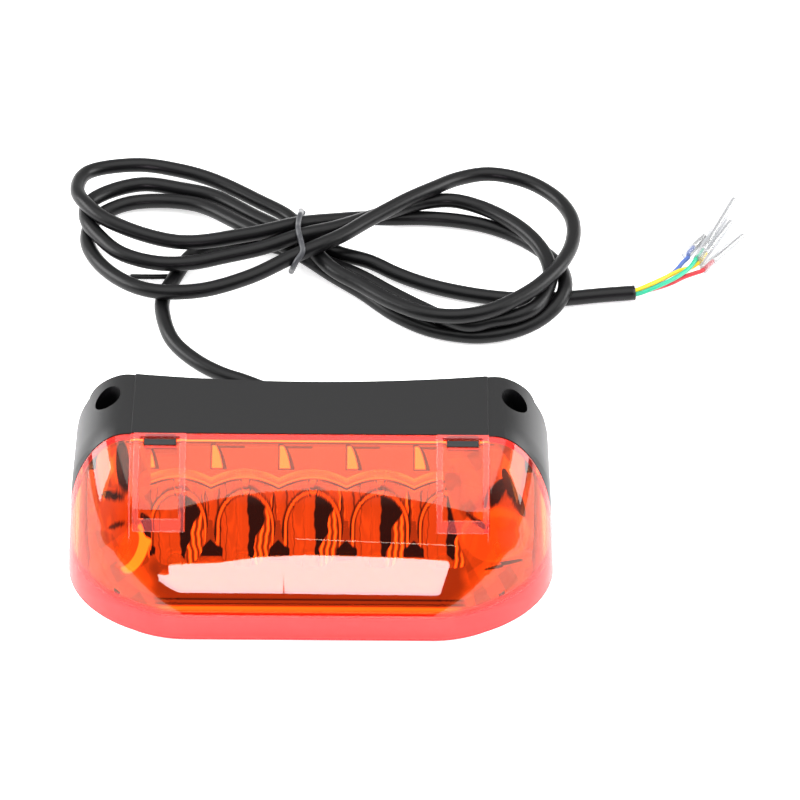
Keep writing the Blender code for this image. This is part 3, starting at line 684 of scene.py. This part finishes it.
# %% Housing
housing = solid_form("housing_shell", 0.0)
cut(housing, prism("rear_part", housing_outline(), 0.0, HIGH_ABOVE), "INTERSECT")
cut(housing, prism("lens_room", front_of(GAP / 2), -10.0, HIGH_ABOVE))
cavity = solid_form("cavity", WALL)
cut(cavity, prism("cavity_plan", housing_outline(WALL), WALL, HIGH_ABOVE), "INTERSECT")
for sign in (-1, 1):
    cut(cavity, turned("post", [(POST_R, -20.0), (POST_R, 80.0)], sign * TUNNEL_X, POST_Y))
cut(housing, cavity)
for sign in (-1, 1):
    steps = [(SCREW_R, -5.0), (SCREW_R, SEAT_Z), (MOUTH_R, SEAT_Z), (MOUTH_R, HIGH_ABOVE)]
    cut(housing, turned("tunnel", steps, sign * TUNNEL_X, TUNNEL_Y, stretch=TUNNEL_STRETCH))
shade(housing, 28.0, abs_black)
attach(housing, "black_abs", "housing")
print("housing faces:", len(housing.data.polygons))

# %% [markdown]
# ### Base plate
# A flat black plate closes the lamp under the lens. It is the same form again, set inside the lens's wall
# and cut down to one wall's thickness.

# %% Base plate under the lens
plate = solid_form("base_plate", WALL + GAP)
cut(plate, prism("plate_slab", front_of(3.0), 0.0, WALL), "INTERSECT")
shade(plate, 28.0, abs_black)
attach(plate, "black_abs")
print("plate faces:", len(plate.data.polygons))

# %% [markdown]
# ## Lens
# The lens is moulded in clear red polycarbonate, 2.5 mm thick. Two raised frames on its face carry the
# latches, each a shallow pocket with a slot at its top. They follow the curve of the face, so they are
# blocks bent along the same arc, joined to the solid before it is hollowed.

# %% Lens shell
LATCH_X, LATCH_SHIFT = 41.1, 0.5
LATCHES = [sign * LATCH_X + LATCH_SHIFT for sign in (-1, 1)]
FRAME_HALF, FRAME_ARC, FRAME_HIGH = 7.0, (44.6, 69.2), 1.0
POCKET_HALF, POCKET_ARC, POCKET_FLOOR = 5.5, (47.6, 68.3), 0.05
SLOT_HALF, SLOT_ARC = 4.5, (66.2, 68.0)
HOOK_HALF, HOOK_ARC = 4.3, (66.35, 67.85)


def face_patch(name, x, half, arc, outside, inside, rows=24):
    """A block of the curved face about x, between two elevations and two heights off the face."""
    x0, x1 = x - half, x + half
    angles = np.linspace(*arc, rows)
    outer = ARC_CENTRE + (RADIUS + outside) * toward(angles)
    inner = ARC_CENTRE + (RADIUS + inside) * toward(angles[::-1])
    outline = np.concatenate([outer, inner])
    count = len(outline)
    points = [(x0, y, z) for y, z in outline] + [(x1, y, z) for y, z in outline]
    faces = [list(range(count)), list(range(count, 2 * count))[::-1]]
    faces += [[i, count + i, count + (i + 1) % count, (i + 1) % count] for i in range(count)]
    return closed_solid(name, points, faces)


lens = solid_form("lens_shell", 0.0)
for x in LATCHES:
    cut(lens, face_patch("frame", x, FRAME_HALF, FRAME_ARC, FRAME_HIGH, -1.0), "UNION")
    cut(lens, face_patch("pocket", x, POCKET_HALF, POCKET_ARC, 3.0, POCKET_FLOOR))
cut(lens, solid_form("inside", WALL))
cut(lens, prism("front_part", front_of(-GAP / 2), GAP, HIGH_ABOVE), "INTERSECT")
for x in LATCHES:
    cut(lens, face_patch("slot", x, SLOT_HALF, SLOT_ARC, 3.0, -4.0))
print("lens faces:", len(lens.data.polygons))

# %% [markdown]
# ### Lens materials
# Clear coloured plastic bends light and tints it. With a closed wall each face takes a share of the tint,
# and light on its way to the mirror passes straight through, because true caustics would take too long.
# A frost with a painted glow is mixed in at the rim, and where a wall is seen along its length.

# %% Lens materials
LENS_TINT = np.array([0.985, 0.25, 0.05])


def red_lens(name, cloudy, cloud_code):
    """Clear red polycarbonate. What the eye sees is bent and reflected. Shadow and diffuse rays pass
    straight through, and each face dims them by the square root of the tint. The rim below the crease
    is mixed with a frost that has a painted glow, and so is the wall where it is seen at a slant.
    `cloudy` is the least share of the frost and its painted glow."""
    made, tree, out = new_material(name)
    edge = add(tree, "Bevel", {"Radius": 0.0004}, samples=4).outputs["Normal"]
    tint = (*LENS_TINT.tolist(), 1.0)
    glass = add(tree, "BsdfPrincipled", {"Base Color": tint, "Roughness": 0.012, "IOR": 1.5,
                                         "Transmission Weight": 1.0, "Normal": edge})
    through = add(tree, "BsdfTransparent", {"Color": (*np.sqrt(LENS_TINT).tolist(), 1.0)})
    path = add(tree, "LightPath")
    either = add(tree, "Math", {0: path.outputs["Is Shadow Ray"], 1: path.outputs["Is Diffuse Ray"]},
                 operation="MAXIMUM")
    clear = add(tree, "MixShader", {0: either.outputs[0], 1: glass.outputs["BSDF"],
                                    2: through.outputs["BSDF"]})
    # The frost's emission is a painted glow, standing in for light carried through the rim and walls.
    frost_and_painted_glow = add(tree, "BsdfPrincipled", {"Base Color": colour(cloud_code), "Roughness": 0.25,
                                           "Emission Color": colour(cloud_code), "Emission Strength": 0.3})
    height = add(tree, "SeparateXYZ", {"Vector": add(tree, "TexCoord").outputs["Object"]}).outputs["Z"]
    low = add(tree, "MapRange", {"Value": height, "From Min": 0.0088, "From Max": 0.0102,
                                 "To Min": 0.85, "To Max": cloudy})
    slant = add(tree, "LayerWeight", {"Blend": 0.5}).outputs["Facing"]
    long_way = add(tree, "MapRange", {"Value": slant, "From Min": 0.34, "From Max": 0.78,
                                      "To Min": 0.0, "To Max": 0.8})
    share = add(tree, "Math", {0: low.outputs["Result"], 1: long_way.outputs["Result"]},
                operation="MAXIMUM")
    mixed = add(tree, "MixShader", {0: share.outputs[0], 1: clear.outputs["Shader"],
                                    2: frost_and_painted_glow.outputs["BSDF"]})
    tree.links.new(mixed.outputs["Shader"], out.inputs["Surface"])
    return made


polycarbonate = red_lens("clear_red_polycarbonate", 0.0, "#EE2323")
# Painted light on the latch frames: a pale painted sheen for their tops and painted shade for their walls.
frame_top_painted_sheen = red_lens("red_polycarbonate_painted_sheen", 0.16, "#FF7070")
frame_wall_painted_shade = red_lens("red_polycarbonate_edge_painted_shade", 0.7, "#6A0F20")
shade(lens, 20.0, polycarbonate)
lens.data.materials.append(frame_top_painted_sheen)
lens.data.materials.append(frame_wall_painted_shade)
print("lens finishes:", len(lens.data.materials))

# %% Which face takes which finish
# The raised frames' tops take a pale painted sheen, and their walls painted shade, dark because they are seen
# edge on.
FRAME_TOP, FRAME_FOOT, FRAME_REACH = 0.8, 0.12, 7.2
centres = np.empty(len(lens.data.polygons) * 3)
lens.data.polygons.foreach_get("center", centres)
centres = centres.reshape(-1, 3) / MM
off_face = np.hypot(centres[:, 1] - ARC_CENTRE[0], centres[:, 2] - ARC_CENTRE[1]) - RADIUS
by_latch = np.abs(np.abs(centres[:, 0] - LATCH_SHIFT) - LATCH_X) < FRAME_REACH
kind = np.zeros(len(centres), int)
kind[by_latch & (off_face > FRAME_TOP)] = 1
kind[by_latch & (off_face > FRAME_FOOT) & (off_face <= FRAME_TOP)] = 2
lens.data.polygons.foreach_set("material_index", kind)
attach(lens, "red_polycarbonate", "lens", "lens_seal")
print("lens dressed; frame faces:", int((kind > 0).sum()))

# %% [markdown]
# ### Latch hooks
# A black hook of the housing fills each slot. It is one more bent block, a little smaller than its slot.

# %% Hooks in the latches
for x in LATCHES:
    hook = face_patch("latch_hook", x, HOOK_HALF, HOOK_ARC, 0.3, -3.6, rows=6)
    shade(hook, 28.0, abs_black)
    attach(hook, "black_abs")
print("hooks:", len(LATCHES))

# %% [markdown]
# ## Mirror deck
# The deck follows the form 5.2 mm inside the lens's outer face. Five upright cups are sunk into it in front
# of a scalloped ledge, with a scoop at each end. It is one sheet of metallised plastic, so it is made as one
# height over a grid: the lowest of the deck, the ledge and the cups everywhere.

# %% Heights of the deck and its cups
CUP_PITCH, ROW_MIDDLE = 18.4, 0.9
HALF_PITCH = CUP_PITCH / 2
CUPS = CUP_PITCH * (np.arange(5) - 2.0) + ROW_MIDDLE
CUP_Y, CUP_FLOOR, MOUTH, LEDGE, FLAT_R = -15.8, 9.5, 9.25, 33.0, 3.0
SCOOP_X, SCOOP_R, SCOOP_DEPTH = 54.0, 6.6, 20.0
SCALLOP_Y, SCALLOP_DEPTH = -5.6, 2.7
DECK_INSET, EDGE_INSET, MIRROR_LOW = 5.2, 2.9, 3.0


def deck_height(xs, ys, inset):
    """Height of the form set in by `inset` over a grid of x and y: the arc's rows are found for each x
    and their heights read off at the wanted y."""
    share = np.linspace(0.0, 1.0, 240)
    rows = form(share[:, None], xs[None], inset)
    heights = [np.interp(ys, rows[:, j, 1], rows[:, j, 2], left=WALL) for j in range(len(xs))]
    return np.stack(heights, axis=1)


def cup_height(x, y, centre, middle_y, mouth, depth, floor):
    """Height of a cup: flat within FLAT_R of its middle, and beyond it the floor plus depth times the
    1.8th power of (distance^2 - FLAT_R^2) / (mouth^2 - FLAT_R^2). The distance is round behind the
    middle and squarer in front, the cube root of the sum of cubes."""
    ahead = np.clip(middle_y - y, 0.0, None) * 0.78
    behind = np.clip(y - middle_y, 0.0, None)
    squarer = (np.abs(x - centre) ** 3 + ahead ** 3) ** (1.0 / 3.0)
    distance = np.where(y < middle_y, squarer, np.hypot(x - centre, behind))
    share = (distance ** 2 - FLAT_R ** 2) / (mouth ** 2 - FLAT_R ** 2)
    return floor + depth * np.clip(share, 0.0, None) ** 1.8


print("cup centres, mm:", np.round(CUPS, 1).tolist())

# %% Mirror surface
mirror_x = np.linspace(-61.5, 61.5, 760)
mirror_y = np.linspace(-32.6, 5.6, 300)
grid_x, grid_y = np.meshgrid(mirror_x, mirror_y)
deck = deck_height(mirror_x, mirror_y, DECK_INSET)
surface = deck.copy()
offset = grid_x[..., None] - CUPS
nearest = np.abs(offset).argmin(axis=-1)
dx = np.take_along_axis(offset, nearest[..., None], axis=-1)[..., 0]
in_row = np.abs(grid_x - ROW_MIDDLE) < 2.5 * CUP_PITCH
scallop = grid_y < SCALLOP_Y - SCALLOP_DEPTH * (dx / HALF_PITCH) ** 2
surface = np.where(in_row & scallop, np.minimum(surface, LEDGE), surface)
for centre in CUPS:
    cup = cup_height(grid_x, grid_y, centre, CUP_Y, MOUTH, LEDGE - CUP_FLOOR, CUP_FLOOR)
    surface = np.minimum(surface, cup)
for sign in (-1, 1):
    centre = sign * SCOOP_X + ROW_MIDDLE
    scoop = cup_height(grid_x, grid_y, centre, CUP_Y + 1.5, SCOOP_R, SCOOP_DEPTH, CUP_FLOOR)
    surface = np.minimum(surface, scoop)
print("mirror grid:", surface.shape, " ledge height, mm:", LEDGE)

# %% [markdown]
# ### Painted reflections in the mirror
# Real cups show stripes of light and dark, from the many bounces inside them. Tracing those bounces is slow
# and hard to steer, so the stripes are painted: a painted brightness for each point, from the distance across
# its cup and its height up the view.

# %% Tools for the stripes
UP_Y, UP_Z = 0.695, 0.719


def band(value, low, high, soft):
    """1 between low and high and 0 outside, with soft edges of width `soft`."""
    return np.clip((value - low) / soft + 0.5, 0.0, 1.0) * np.clip((high - value) / soft + 0.5, 0.0, 1.0)


def line(value, at, half, soft=0.12):
    """1 on a thin line."""
    return band(value, at - half, at + half, soft)


def lay(under, share, level):
    """Paint a level over what is there, by a share."""
    return under * (1.0 - share) + level * share


up = UP_Y * grid_y + UP_Z * surface
print("height up the view, mm:", round(float(up.min()), 1), "to", round(float(up.max()), 1))

# %% Painted reflection stripes and painted shade in the cups
wave = dx + 0.22 * np.sin(0.55 * up + 1.7 * nearest) + 0.1 * np.sin(1.9 * up + nearest)
in_cup = surface < np.minimum(deck, LEDGE) - 0.05
red_zone = 0.85 - 0.5 * line(wave, -5.4, 0.12)
red_zone = red_zone - 0.3 * line(wave, -2.6, 0.08) - 0.6 * line(wave, -7.2, 0.25)
dark_edge = 1.9 + 0.36 * np.clip(up, 0.0, 15.0) + 0.5 * np.sin(0.8 * up + 2.1 * nearest)
shade_stripe = band(wave, 0.2 + 0.3 * np.sin(1.3 * nearest), dark_edge, 0.25)
shade_stripe = shade_stripe * band(up, -3.0, 17.5 - 0.15 * wave ** 2, 0.8)
cup_painted_light = lay(red_zone, shade_stripe, 0.02)
highlight_streaks = 0.3 + 3.2 * np.sin(1.9 * wave + 0.6 * np.sin(0.4 * up + nearest)) ** 4
cup_painted_light = lay(cup_painted_light, band(wave, dark_edge, 9.4, 0.2), highlight_streaks)
cup_painted_light = lay(cup_painted_light, line(wave, 7.7, 0.25), 0.05)
rounding = np.hypot(dx / 8.3, np.clip(up - 6.0, 0.0, None) / 10.6)
cup_painted_light = lay(cup_painted_light, line(rounding, 0.97, 0.035, 0.02), 0.05)
cup_painted_light = lay(cup_painted_light, line(rounding, 0.90, 0.03, 0.02), 2.4)
cup_painted_light = lay(cup_painted_light, line(rounding, 0.84, 0.02, 0.02), 0.1)
# A painted shade wedge between neighbouring cups.
shade_wedge = band(up, -2.6, 3.0 - (HALF_PITCH - np.abs(dx)), 0.4) * (np.abs(dx) > 6.4)
painted_light = np.full(grid_x.shape, 0.5)
painted_light = np.where(in_row & in_cup, cup_painted_light, painted_light)
painted_light = np.where(in_row, lay(painted_light, shade_wedge, 0.02), painted_light)
print("points in cups:", int((in_row & in_cup).sum()))

# %% Painted light and shade on the panel above the cups, its gussets and the hoops round the cups
panel = (~scallop) & in_row
gusset_x = np.where(dx < 0, dx + HALF_PITCH, dx - HALF_PITCH)
flare = np.sqrt(np.clip((28.2 - up) / 6.6, 0.0, 1.0))
panel_painted_light = np.full(grid_x.shape, 0.75)
outline = band(gusset_x, -0.3, 1.0 + 3.3 * flare, 0.15) * band(up, 21.6, 28.5, 0.2)
bright = band(gusset_x, 0.15, 0.5 + 2.6 * flare, 0.15) * band(up, 22.0, 28.0, 0.2)
crossbar = line(up, 27.6, 0.3) * band(gusset_x, 0.0, 9.0, 0.3)
panel_painted_light = lay(panel_painted_light, np.maximum(outline, 0.85 * crossbar), 0.18)
panel_painted_light = lay(panel_painted_light, bright, 5.0)
painted_light = np.where(panel, panel_painted_light, painted_light)
arch = in_row & scallop & ~in_cup & (grid_y > -17.0)
painted_light = np.where(arch, 0.9, painted_light)
hoop = up + 2.4 * (dx / HALF_PITCH) ** 2
hoops = in_row * band(up, 14.5, 23.5, 0.3)
# Each painted hoop line, bright or dark: its brightness, its height up the view and half its width.
PAINTED_HOOP_LINES = [(3.2, 21.5, 0.3), (0.3, 20.9, 0.12), (1.1, 20.3, 0.4),
         (2.8, 19.6, 0.25), (0.12, 18.9, 0.28), (1.6, 18.3, 0.2)]
for level, at, half in PAINTED_HOOP_LINES:
    painted_light = lay(painted_light, hoops * line(hoop, at, half), level)
# A painted dark line and a painted highlight along the top of the panel.
painted_light = np.where((~scallop) & (up > 28.5), 0.35, painted_light)
painted_light = np.where((~scallop) & (up > 29.1), 7.0, painted_light)
print("tone range:", round(float(painted_light.min()), 2), round(float(painted_light.max()), 2))

# %% [markdown]
# ### Ends of the deck
# At each end the deck turns round the corner in facets, and the bright and dark patches they show are
# painted highlights and painted shade. Each patch is a turned ellipse laid over a faint painted pattern of
# facets.

# %% Painted patches of light and shade
def blob(cx, cu, rx, ru, turn):
    """How far inside a turned ellipse each point is: 1 at its middle, 0 at its edge and beyond."""
    a = math.radians(turn)
    px, pu = grid_x - cx, up - cu
    along = px * math.cos(a) + pu * math.sin(a)
    across = -px * math.sin(a) + pu * math.cos(a)
    return np.clip(1.0 - (along / rx) ** 2 - (across / ru) ** 2, 0.0, 1.0)


# Each painted patch: its middle across and up the view, its two half widths, its turn in degrees and its
# brightness.
PAINTED_PATCHES = [(-50.6, 22.0, 2.0, 7.6, 6.0, 0.02), (-55.0, 10.5, 6.0, 6.6, 0.0, 0.75),
           (-53.5, 14.4, 3.4, 1.3, -8.0, 0.02), (-53.0, 6.0, 2.6, 0.8, 20.0, 0.1),
           (-47.2, 0.2, 3.6, 7.4, -22.0, 6.0), (-49.4, 0.5, 3.0, 6.0, -24.0, 1.2),
           (-44.0, 6.0, 1.4, 4.4, 24.0, 0.04), (-40.6, -0.8, 3.0, 3.6, 20.0, 3.4),
           (-41.4, 1.6, 1.4, 2.4, 20.0, 0.3), (51.0, 4.5, 9.8, 7.6, 0.0, 1.7),
           (50.5, 3.5, 8.6, 6.0, 8.0, 1.1), (46.0, 8.0, 4.2, 0.9, -35.0, 0.05),
           (53.0, -3.6, 6.0, 0.5, 12.0, 0.05), (56.5, 13.5, 1.5, 5.0, 25.0, 0.1),
           (50.5, 15.5, 2.0, 5.0, -30.0, 0.03), (54.0, 18.0, 1.3, 5.0, 20.0, 0.05)]
print("patches:", len(PAINTED_PATCHES))

# %% Front and ends of the deck
# In front of the cups the deck is painted dim, with thin painted dark lines that run across above the rim, a
# painted bright band below them and a painted ripple at the ends.
front_face = band(-grid_y, 24.6 - 0.004 * grid_x ** 2, 40.0, 0.3) * band(-up, 1.6, 40.0, 0.3)
painted_light = lay(painted_light, front_face, 0.45)
across_lines = np.maximum(line(up, -13.2, 0.2), line(up, -14.4, 0.15))
painted_light = lay(painted_light, across_lines * (np.abs(grid_x) < 45.0), 0.03)
painted_light = lay(painted_light, band(up, -17.6, -15.2, 0.3), 3.6)
painted_light = np.where(surface <= MIRROR_LOW, 1.0, painted_light)
ripple = np.sin(0.5 * grid_x + 0.6 * up) * np.sin(0.4 * up - 0.3 * grid_x + 1.0)
painted_light = lay(painted_light, front_face * band(np.abs(grid_x), 42.0, 80.0, 3.0), 0.75 + 0.45 * ripple)
end_share = np.maximum(band(-grid_x, 43.2, 80.0, 0.3), band(grid_x, 41.5 - 0.25 * up, 80.0, 0.3))
end_painted_light = 0.8 + 0.12 * np.sign(np.sin(0.6 * grid_x + 0.35 * up))
end_painted_light = end_painted_light + 0.1 * np.sign(np.sin(0.35 * grid_x - 0.5 * up + 1.0))
for cx, cu, rx, ru, turn, level in PAINTED_PATCHES:
    end_painted_light = lay(end_painted_light, np.clip(blob(cx, cu, rx, ru, turn) * 6.0, 0.0, 1.0), level)
below_panel = (up < 28.5) | (np.abs(grid_x) > 50.0)
painted_light = lay(painted_light, end_share * (surface > MIRROR_LOW) * below_panel, end_painted_light)
print("mean brightness at the ends:", round(float(end_painted_light.mean()), 2))

# %% [markdown]
# ### Mirror material
# Vacuum metallising lays a thin bright film on moulded plastic. The film is a metal with a slight wave in
# it. Its reflections are painted: a painted brightness for each point is an attribute of the mesh, and the
# material reads it as a red glow, with a dark surface mixed in as painted shade.

# %% Mirror material and piece
def mirror_finish(name):
    """Vacuum metallised plastic with painted reflections: its stripes glow in the lens's own red by the
    painted brightness, and the lower that brightness, the more a dark surface takes over as painted shade."""
    made, tree, out = new_material(name)
    painted_reflection = add(tree, "Attribute", attribute_name="painted_reflection").outputs["Fac"]
    shader = add(tree, "BsdfPrincipled", {"Base Color": colour("#D8D5CF"), "Metallic": 1.0, "Roughness": 0.12,
                                          "Normal": bumped(tree, 260.0, 0.00003, 2.0)})
    glow = add(tree, "Emission", {"Color": (1.0, 0.25, 0.06, 1.0), "Strength": painted_reflection})
    dim = add(tree, "MapRange", {"Value": painted_reflection, "From Min": 0.0, "From Max": 1.0,
                                 "To Min": 0.0, "To Max": 0.18})
    # Painted shade: a dark surface that takes more of the mirror's place the lower the painted brightness.
    dark = add(tree, "BsdfDiffuse", {"Color": colour("#14060A")})
    mixed = add(tree, "MixShader", {0: dim.outputs["Result"], 1: dark.outputs["BSDF"],
                                    2: shader.outputs["BSDF"]})
    both = add(tree, "AddShader", {0: mixed.outputs["Shader"], 1: glow.outputs["Emission"]})
    tree.links.new(both.outputs["Shader"], out.inputs["Surface"])
    return made


metallised = mirror_finish("metallised_mirror")
mirror_points = np.stack([grid_x, grid_y, np.maximum(surface, MIRROR_LOW)], axis=-1)
near_deck = deck_height(mirror_x, mirror_y, EDGE_INSET) > WALL + 0.2
number = quads_of(len(mirror_y), len(mirror_x))
keep = near_deck.ravel()[number].all(axis=1)
mirror = mesh_from("mirror_deck", mirror_points.reshape(-1, 3), number[keep], metallised)
# The painted reflections and painted shade are stored on the mesh as an attribute.
stripes = mirror.data.attributes.new("painted_reflection", "FLOAT", "POINT")
stripes.data.foreach_set("value", painted_light.astype(np.float32).ravel())
attach(mirror, "metallised_mirror", "reflector")
print("mirror quads:", int(keep.sum()))

# %% [markdown]
# ## Stage and light
# The lamp lies on a pale table under a big soft light overhead. A low light in front shows as a band in the
# lens, two side lights pick out the ends, and the sky is quiet.

# %% Table
floor_material, tree, out = new_material("pale_table")
floor_shader = add(tree, "BsdfPrincipled", {"Base Color": colour("#FAFAFA"), "Roughness": 0.9,
                                            "Specular IOR Level": 0.1, "Emission Strength": 0.62,
                                            "Emission Color": colour("#FFFFFF")})
tree.links.new(floor_shader.outputs["BSDF"], out.inputs["Surface"])
bpy.ops.mesh.primitive_plane_add(size=6.0, location=(0.0, 0.0, -0.0002))
floor = bpy.context.object
floor.name = "table"
floor.data.materials.append(floor_material)
print("table set")

# %% [markdown]
# ### Lights
# A glossy curved lens shows the shape of every light in it, so the two lights that are seen in it are flat
# glowing shapes with outlines of their own. The side lights are ordinary area lights.

# %% Kinds of light
def soft_light(name, azimuth, elevation, distance, size, power, tint="#FFFFFF"):
    """A rectangular light aimed at the lamp. Azimuth 0 is in front, 90 to the right; distance in metres."""
    a, e = math.radians(azimuth), math.radians(elevation)
    place = Vector((math.sin(a) * math.cos(e), -math.cos(a) * math.cos(e), math.sin(e))) * distance
    data = bpy.data.lights.new(name, "AREA")
    data.shape = "RECTANGLE"
    data.size, data.size_y = size
    data.energy = power
    data.color = colour(tint)[:3]
    made = placed(name, data)
    made.location = place
    made.rotation_euler = (-place).to_track_quat("-Z", "Y").to_euler()
    return made


def glowing_shape(name, outline, strength, tint="#FFFFFF"):
    """A flat light of any outline, given as points in metres, seen only by what it lights."""
    mesh = bpy.data.meshes.new(name)
    mesh.from_pydata([tuple(p) for p in outline], [], [list(range(len(outline)))])
    made = placed(name, mesh)
    finish, tree, out = new_material(name)
    glow = add(tree, "Emission", {"Color": colour(tint), "Strength": strength})
    tree.links.new(glow.outputs["Emission"], out.inputs["Surface"])
    mesh.materials.append(finish)
    made.visible_camera = False
    return made


LIGHT_AWAY = 1.2


def at_distance(outline):
    """Points LIGHT_AWAY metres off in front, from x in metres and elevation in degrees."""
    return [(x, -LIGHT_AWAY * math.cos(math.radians(e)), LIGHT_AWAY * math.sin(math.radians(e)))
            for x, e in outline]


print("lights stand off by, m:", LIGHT_AWAY)

# %% The lights
# The low front light has an arched top edge, and a thin slit runs up into it from below.
FRONT_BAND = [(-0.45, 12.4), (-0.0434, 12.0), (-0.043, 22.0), (-0.0426, 12.0), (0.084, 11.2), (0.087, 17.0),
              (0.094, 26.6), (0.060, 29.2), (0.018, 31.0), (-0.030, 31.9), (-0.058, 30.7), (-0.081, 27.7),
              (-0.14, 25.4), (-0.17, 20.5), (-0.30, 18.0), (-0.45, 16.3)]
FRONT_LINE = [(-0.036, 40.0), (0.090, 36.2), (0.090, 36.6), (-0.036, 40.3)]
glowing_shape("front_band", at_distance(FRONT_BAND), 15.5, "#FFEEFE")
glowing_shape("front_line", at_distance(FRONT_LINE), 8.0)

# The overhead light: its front edge is hollow in the middle, so the veil it lays on the lens is arched.
xs = np.linspace(-0.2, 0.16, 25)
front_edge = -np.minimum(0.56 + 0.16 * ((xs + 0.028) / 0.07) ** 2, 0.86)
over_points = [(-0.9, front_edge[0], LIGHT_AWAY)]
over_points += [(float(x), float(y), LIGHT_AWAY) for x, y in zip(xs, front_edge)]
over_points += [(0.9, front_edge[-1], LIGHT_AWAY), (0.9, 0.7, LIGHT_AWAY), (-0.9, 0.7, LIGHT_AWAY)]
glowing_shape("overhead", over_points, 3.0)
soft_light("left_side", -100.0, 22.0, LIGHT_AWAY, (0.9, 0.6), 16.0)
soft_light("right_side", 100.0, 22.0, LIGHT_AWAY, (0.9, 0.6), 13.0)

# %% [markdown]
# ### Sky
# The sky fills the shadows. It is paler above than below, and dark behind the camera, as a studio is, so
# that the front of the lens isn't washed out.

# %% Sky
world = bpy.data.worlds.new("studio")
bpy.context.scene.world = world
world.use_nodes = True
sky = world.node_tree
sky.nodes.clear()
sky_out = sky.nodes.new("ShaderNodeOutputWorld")
looking = add(sky, "SeparateXYZ", {"Vector": add(sky, "TexCoord").outputs["Generated"]})
ramp = add(sky, "ValToRGB", {"Fac": looking.outputs["Z"]})
ramp.color_ramp.elements[0].position = 0.0
ramp.color_ramp.elements[0].color = (0.55, 0.55, 0.55, 1.0)
ramp.color_ramp.elements[1].position = 1.0
ramp.color_ramp.elements[1].color = (1.1, 1.1, 1.1, 1.0)
dark_front = add(sky, "MapRange", {"Value": looking.outputs["Y"], "From Min": -0.25, "From Max": -0.55,
                                   "To Min": 1.0, "To Max": 0.12})
back = add(sky, "Background", {"Color": ramp.outputs["Color"], "Strength": dark_front.outputs["Result"]})
sky.links.new(back.outputs["Background"], sky_out.inputs["Surface"])

view = bpy.context.scene.view_settings
view.view_transform = "Standard"
print("view transform:", view.view_transform)
